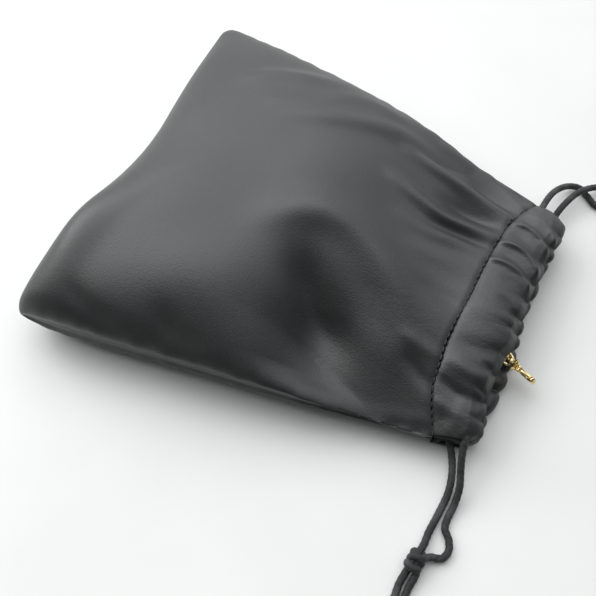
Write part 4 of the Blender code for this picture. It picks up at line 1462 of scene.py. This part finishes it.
# ---- the clasp ----------------------------------------------------------------------------
@dataclass
class Clasp:
    """The small swivel clasp on its leather tab, inside the mouth."""

    gold: bpy.types.Material
    leather: bpy.types.Material
    thread: bpy.types.Material
    tab_eye: tuple[float, float, float] = (0.0700, -0.0110, 0.00935)
    yaw: float = math.radians(-20.0)
    roll: float = math.radians(24.0)
    tab_width: float = 0.0050
    tab_sheet: float = 0.0008
    wire: float = 0.0006
    gap: float = 0.0003
    back_mouth_z: float = 0.0069
    head_x: float = 0.0076
    head: float = 0.0017
    shank: float = 0.00065
    oval_x: float = 0.0100
    oval_long: float = 0.0046
    oval_high: float = 0.0038
    bar: float = 0.0014
    thick: float = 0.0022
    pivot: tuple[float, float] = (0.0070, 0.0021)
    pin: float = 0.00040
    tongue: float = 0.0007

    def tab_place(self) -> Matrix:
        """The frame of the tab's eye: +Y along the eye, +X out along the clasp."""
        return Matrix.Translation(self.tab_eye) @ Matrix.Rotation(self.yaw, 4, "Z")

    def head_place(self) -> Matrix:
        """The frame of the swivel, at the middle of the rivet's head."""
        return self.tab_place() @ Matrix.Translation((self.head_x, 0, 0))

    def hook_place(self) -> Matrix:
        """The frame of the hook, rolled on the swivel."""
        return self.head_place() @ Matrix.Rotation(self.roll, 4, "X")

    def pin_place(self, y: float) -> Matrix:
        """The frame about the gate's pin: +X along the pin, y from the hook's middle."""
        return (self.hook_place() @ Matrix.Translation((self.pivot[0], y, self.pivot[1]))
                @ Matrix.Rotation(math.pi / 2, 4, "Z"))

    def plated(self, name: str, body: str, node: str, parts: list,
               sharp: float | None = 50) -> None:
        """Make one gold piece.

        Args:
            name: the piece's name.
            body: what it rides on.
            node: what it replaces.
            parts: its sets of points and faces.
            sharp: edges sharper than this angle in degrees stay crisp.
        """
        obj = outwards(mesh_piece(name, *joined(parts), self.gold), sharp)
        ride_on(obj, body, Slot.GOLD, node)

    def tab(self) -> None:
        """The folded strap of leather with its eye, and its box of stitches."""
        eye = self.wire + self.gap + self.tab_sheet / 2
        low = self.back_mouth_z + self.gap - self.tab_eye[2] + self.tab_sheet / 2
        high = low + self.tab_sheet + 0.0001
        turn = np.radians(np.linspace(110, -78, 22))
        bend = np.stack([eye * np.cos(turn), eye * np.sin(turn)], 1)
        over = np.stack([np.linspace(-0.0112, -0.0034, 18), np.full(18, high)], 1)
        under = np.stack([np.linspace(-0.0020, -0.0112, 18), np.full(18, low)], 1)
        path = np.concatenate([over, bend, under])
        line = smooth_route(np.insert(path, 1, 0.0, axis=1), 0.00022)
        out = np.cross(unit(np.gradient(line, axis=0)), ACROSS)
        wide, deep = squared_ring(28, 0.25, 0.55)
        points = (line[:, None] + ACROSS * (wide * self.tab_width / 2)[None, :, None]
                  + out[:, None] * (deep * self.tab_sheet / 2)[None, :, None])
        points = at_place(points.reshape(-1, 3), self.tab_place())
        strap = outwards(mesh_piece("clasp_tab_strap", points,
                                    ring_faces(len(line), len(wide)), self.leather), 45)
        ride_on(strap, "pouch", Slot.LEATHER, "clasp_tab")
        off = high + self.tab_sheet / 2 + 0.00006
        square = np.array([(-0.0102, -0.0015, off), (-0.0102, 0.0015, off),
                           (-0.0050, 0.0015, off), (-0.0050, -0.0015, off),
                           (-0.0102, -0.0015, off)])
        square = at_place(square, self.tab_place())
        row = StitchTree(pitch=0.0013, length=0.0011, thickness=0.00034)
        sewn = row.sew("tab_stitches", square, self.thread)
        ride_on(sewn, "pouch", Slot.THREAD, "tab_stitching")

    def eye(self) -> None:
        """The wire eye with its barrel."""
        half = self.tab_width / 2 + 0.0012
        barrel = self.head_x + 0.0027
        corners = np.array([(0, -half * 0.5), (0, half * 0.5), (0.0002, half * 0.86),
                            (0.0010, half * 1.04), (0.0024, half * 1.02), (0.0050, 0.0028),
                            (self.head_x, 0.0024), (barrel - 0.0006, 0.0019),
                            (barrel, 0.0010), (barrel, -0.0010), (barrel - 0.0006, -0.0019),
                            (self.head_x, -0.0024), (0.0050, -0.0028),
                            (0.0024, -half * 1.02), (0.0010, -half * 1.04),
                            (0.0002, -half * 0.86), (0, -half * 0.5)])
        line = smooth_route(np.concatenate([corners, np.zeros((len(corners), 1))], 1), 0.0003)
        line = at_place(line[:-1], self.tab_place())
        wire = tube_arrays(line, np.full((len(line), 16), self.wire), closed=True)
        a = 0.0016 + self.gap
        sleeve = turned_arrays([(a, self.shank + 0.0002), (a, 0.00165), (a + 0.00015, 0.0018),
                                (a + 0.00145, 0.0018), (a + 0.0016, 0.00165),
                                (a + 0.0016, self.shank + 0.0002)], 40, self.head_place())
        self.plated("clasp_eye_wire", "clasp_eye", "clasp_eye", [wire, sleeve])

    def rivet(self) -> None:
        """The ball-headed rivet that the hook turns on."""
        profile = [(-self.head * math.cos(math.radians(a)),
                    self.head * math.sin(math.radians(a))) for a in range(3, 156, 6)]
        profile += [(self.head * 0.97, self.shank + 0.0001), (self.head + 0.0002, self.shank),
                    (0.0056, self.shank), (0.0058, self.shank - 0.0002)]
        self.plated("rivet_ball", "clasp_hook", "swivel_rivet",
                    [turned_arrays(profile, 40, self.head_place())])

    def bar_arrays(self, start: float, end: float, inset: float, width: float,
                   thick: float, round_end: float) -> tuple[np.ndarray, list]:
        """A softly squared bar round part of the hook's oval.

        Args:
            start: where it begins, in degrees round the oval.
            end: where it ends.
            inset: from the oval's outside to the middle of the bar.
            width: of the bar, in the oval's plane.
            thick: across the oval's plane.
            round_end: length over which its ends are rounded.

        Returns:
            Points and faces.
        """
        count = 64
        angle = np.radians(np.linspace(start, end, count))
        line = np.stack([self.oval_x + (self.oval_long - inset) * np.cos(angle), 0 * angle,
                         (self.oval_high - inset) * np.sin(angle)], 1)
        out = np.cross(unit(np.gradient(line, axis=0)), ACROSS)
        steps = distances(line)
        nearest = np.minimum(steps, steps[-1] - steps)
        size = np.sqrt(np.clip(1 - (1 - np.clip(nearest / round_end, 0, 1)) ** 2, 0.06, 1))
        a, b = squared_ring(24, 0.5, 0.5)
        points = (line[:, None] + ACROSS * (size[:, None] * a * thick / 2)[..., None]
                  + out[:, None] * (size[:, None] * b * width / 2)[..., None])
        return (at_place(points.reshape(-1, 3), self.hook_place()),
                ring_faces(count, len(a)))

    def cheek(self, y: float, thick: float, radius: float) -> tuple[np.ndarray, list]:
        """A round cheek about the gate's pin."""
        soft = 0.00012
        return turned_arrays([(-thick / 2, self.pin + 0.0001), (-thick / 2, radius - soft),
                              (-thick / 2 + soft, radius), (thick / 2 - soft, radius),
                              (thick / 2, radius - soft), (thick / 2, self.pin + 0.0001)],
                             36, self.pin_place(y))

    def hook(self) -> None:
        """The hook: collar, oval bar, nose and the two cheeks that hold the gate's pin."""
        start = 0.0032 + 2 * self.gap
        collar = turned_arrays([(start, self.shank + 0.0003), (start, 0.0019),
                                (start + 0.0002, 0.0024), (start + 0.0006, 0.0028),
                                (start + 0.0009, 0.00275), (start + 0.0017, 0.0019),
                                (start + 0.0024, 0.00125), (start + 0.0036, 0.0012),
                                (start + 0.0038, 0.0009)], 44, self.head_place())
        bar = self.bar_arrays(150, 412, self.bar / 2, self.bar, self.thick, 0.0007)
        side = (self.thick - self.tongue) / 4 + self.tongue / 2
        wall = (self.thick - self.tongue) / 2 - 0.0002
        cheeks = [self.cheek(sign * side, wall, 0.0013) for sign in (-1, 1)]
        self.plated("hook_body", "clasp_hook", "clasp_hook", [collar, bar, *cheeks])

    def gate(self) -> None:
        """The sprung gate with its knuckle."""
        leaf = self.bar_arrays(126, 64, self.bar / 2 + 0.0001, self.bar - 0.0003, self.tongue,
                               0.0004)
        knuckle = self.cheek(0.0, self.tongue - 0.0001, 0.00092)
        self.plated("gate_leaf", "clasp_gate", "clasp_gate", [leaf, knuckle])

    def fittings(self) -> None:
        """The gate's pin with its peened ends, and its small coiled spring."""
        reach = self.thick / 2
        pin = turned_arrays([(-reach - 0.0001, 0.0001), (-reach - 0.00006, 0.0003),
                             (-reach, self.pin), (reach, self.pin),
                             (reach + 0.00006, 0.0003), (reach + 0.0001, 0.0001)],
                            28, self.pin_place(0.0))
        self.plated("gate_pin_peened", "clasp_hook", "gate_pin", [pin])
        t = np.linspace(0, 1, 90)
        route = np.array([(0.0076, 0, -0.0016), (0.0082, 0, -0.0006), (0.0088, 0, 0.0006),
                          (0.0098, 0, 0.0014)])
        base = smooth_route(route, 0.00005)
        keep = np.linspace(0, len(base) - 1, len(t)).astype(int)
        _, u, v = carried_frames(base[keep])
        angle = t * math.tau * 9
        swell = 0.00022 * ease(t / 0.1) * ease((1 - t) / 0.1)
        line = base[keep] + u * (swell * np.cos(angle))[:, None] + v * (
            swell * np.sin(angle))[:, None]
        coil = tube_arrays(at_place(line, self.hook_place()), np.full((len(line), 8), 0.00009))
        self.plated("gate_spring_coil", "clasp_hook", "gate_spring", [coil], None)

    def build(self) -> None:
        """Make the clasp and its tab."""
        self.tab()
        self.eye()
        self.rivet()
        self.hook()
        self.gate()
        self.fittings()


# ---- the studio ---------------------------------------------------------------------------
@dataclass
class Studio:
    """The floor, the soft lights and the camera."""

    position: tuple[float, float, float] = (0.054, -0.147, 0.292)
    azimuth: float = math.radians(25.9)
    elevation: float = math.radians(64.5)
    lens: float = 47.8

    def camera(self) -> None:
        """The main view."""
        data = bpy.data.cameras.new("main_view")
        data.lens = self.lens
        data.sensor_width = 36.0
        data.clip_start = 0.01
        camera = bpy.data.objects.new("main_view", data)
        back = Vector((math.sin(self.azimuth) * math.cos(self.elevation),
                       -math.cos(self.azimuth) * math.cos(self.elevation),
                       math.sin(self.elevation)))
        camera.location = self.position
        camera.rotation_euler = (-back).to_track_quat("-Z", "Y").to_euler()
        bpy.context.scene.collection.objects.link(camera)
        bpy.context.scene.camera = camera

    def floor(self) -> None:
        """The plain pale floor."""
        mesh = bpy.data.meshes.new("floor")
        mesh.from_pydata([(-3, -3, 0), (3, -3, 0), (3, 3, 0), (-3, 3, 0)], [], [(0, 1, 2, 3)])
        mesh.materials.append(FloorFinish().material())
        floor = bpy.data.objects.new("floor", mesh)
        floor.location = (0, 0, -0.0001)
        bpy.context.scene.collection.objects.link(floor)

    def lamp(self, name: str, place: tuple, target: tuple, size: float,
             power: float) -> None:
        """A soft square lamp that points at a place."""
        data = bpy.data.lights.new(name, "AREA")
        data.shape = "SQUARE"
        data.size = size
        data.energy = power
        lamp = bpy.data.objects.new(name, data)
        lamp.location = place
        aim = Vector(target) - Vector(place)
        lamp.rotation_euler = aim.to_track_quat("-Z", "Y").to_euler()
        bpy.context.scene.collection.objects.link(lamp)

    def lights(self) -> None:
        """A pale room, brightest above and beyond the pouch, and two soft lamps."""
        world = bpy.data.worlds.new("pale_room")
        world.use_nodes = True
        b = NodeBench(world.node_tree)
        sky = world.node_tree.nodes["Background"]
        sky.inputs["Color"].default_value = (0.95, 0.98, 1.0, 1.0)
        place = b.add("ShaderNodeTexCoord")
        facing = b.add("ShaderNodeVectorMath", operation="DOT_PRODUCT")
        facing.inputs[1].default_value = (-0.26, 0.68, 0.685)
        b.join(place.outputs["Generated"], facing.inputs[0])
        b.join(b.ramp(facing.outputs["Value"], 0.22, 0.96, 0.09, 1.62),
               sky.inputs["Strength"])
        bpy.context.scene.world = world
        bpy.context.scene.view_settings.view_transform = "Standard"
        self.lamp("key", (-0.55, 0.62, 1.25), (0, 0, 0), 1.5, 11.0)
        self.lamp("side", (-0.95, 0.05, 0.60), (-0.05, -0.02, 0), 0.8, 8.0)

    def build(self) -> None:
        """Set the studio up."""
        self.camera()
        self.floor()
        self.lights()


def main() -> None:
    """Build every piece in order."""
    logging.basicConfig(level=logging.INFO, format="%(message)s")
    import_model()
    Studio().build()
    leather = LeatherFinish("black_leather").material()
    lining = YarnFinish("lining_cloth", (0.030, 0.029, 0.028), (0.05, 0.05, 0.048), 0.85,
                        scale=1400.0).material()
    thread = YarnFinish("black_thread", (0.010, 0.010, 0.011), (0.03, 0.03, 0.03), 0.6,
                        scale=5200.0).material()
    cord = YarnFinish("braided_cord", (0.012, 0.012, 0.013), (0.045, 0.045, 0.046), 0.72,
                      scale=4200.0).material()
    gold = PlatedFinish("gold_plating").material()
    for side, routes in ((Side.NEAR, NEAR_CORD), (Side.FAR, FAR_CORD)):
        Drawcord(side, routes, cord).build()
    body = PouchBody(PouchShape(), leather, lining)
    body.build()
    Hems(body).build()
    Sewing(body, thread).build()
    Clasp(gold, leather, thread).build()
    bpy.context.view_layer.update()


if __name__ == "__main__":
    main()
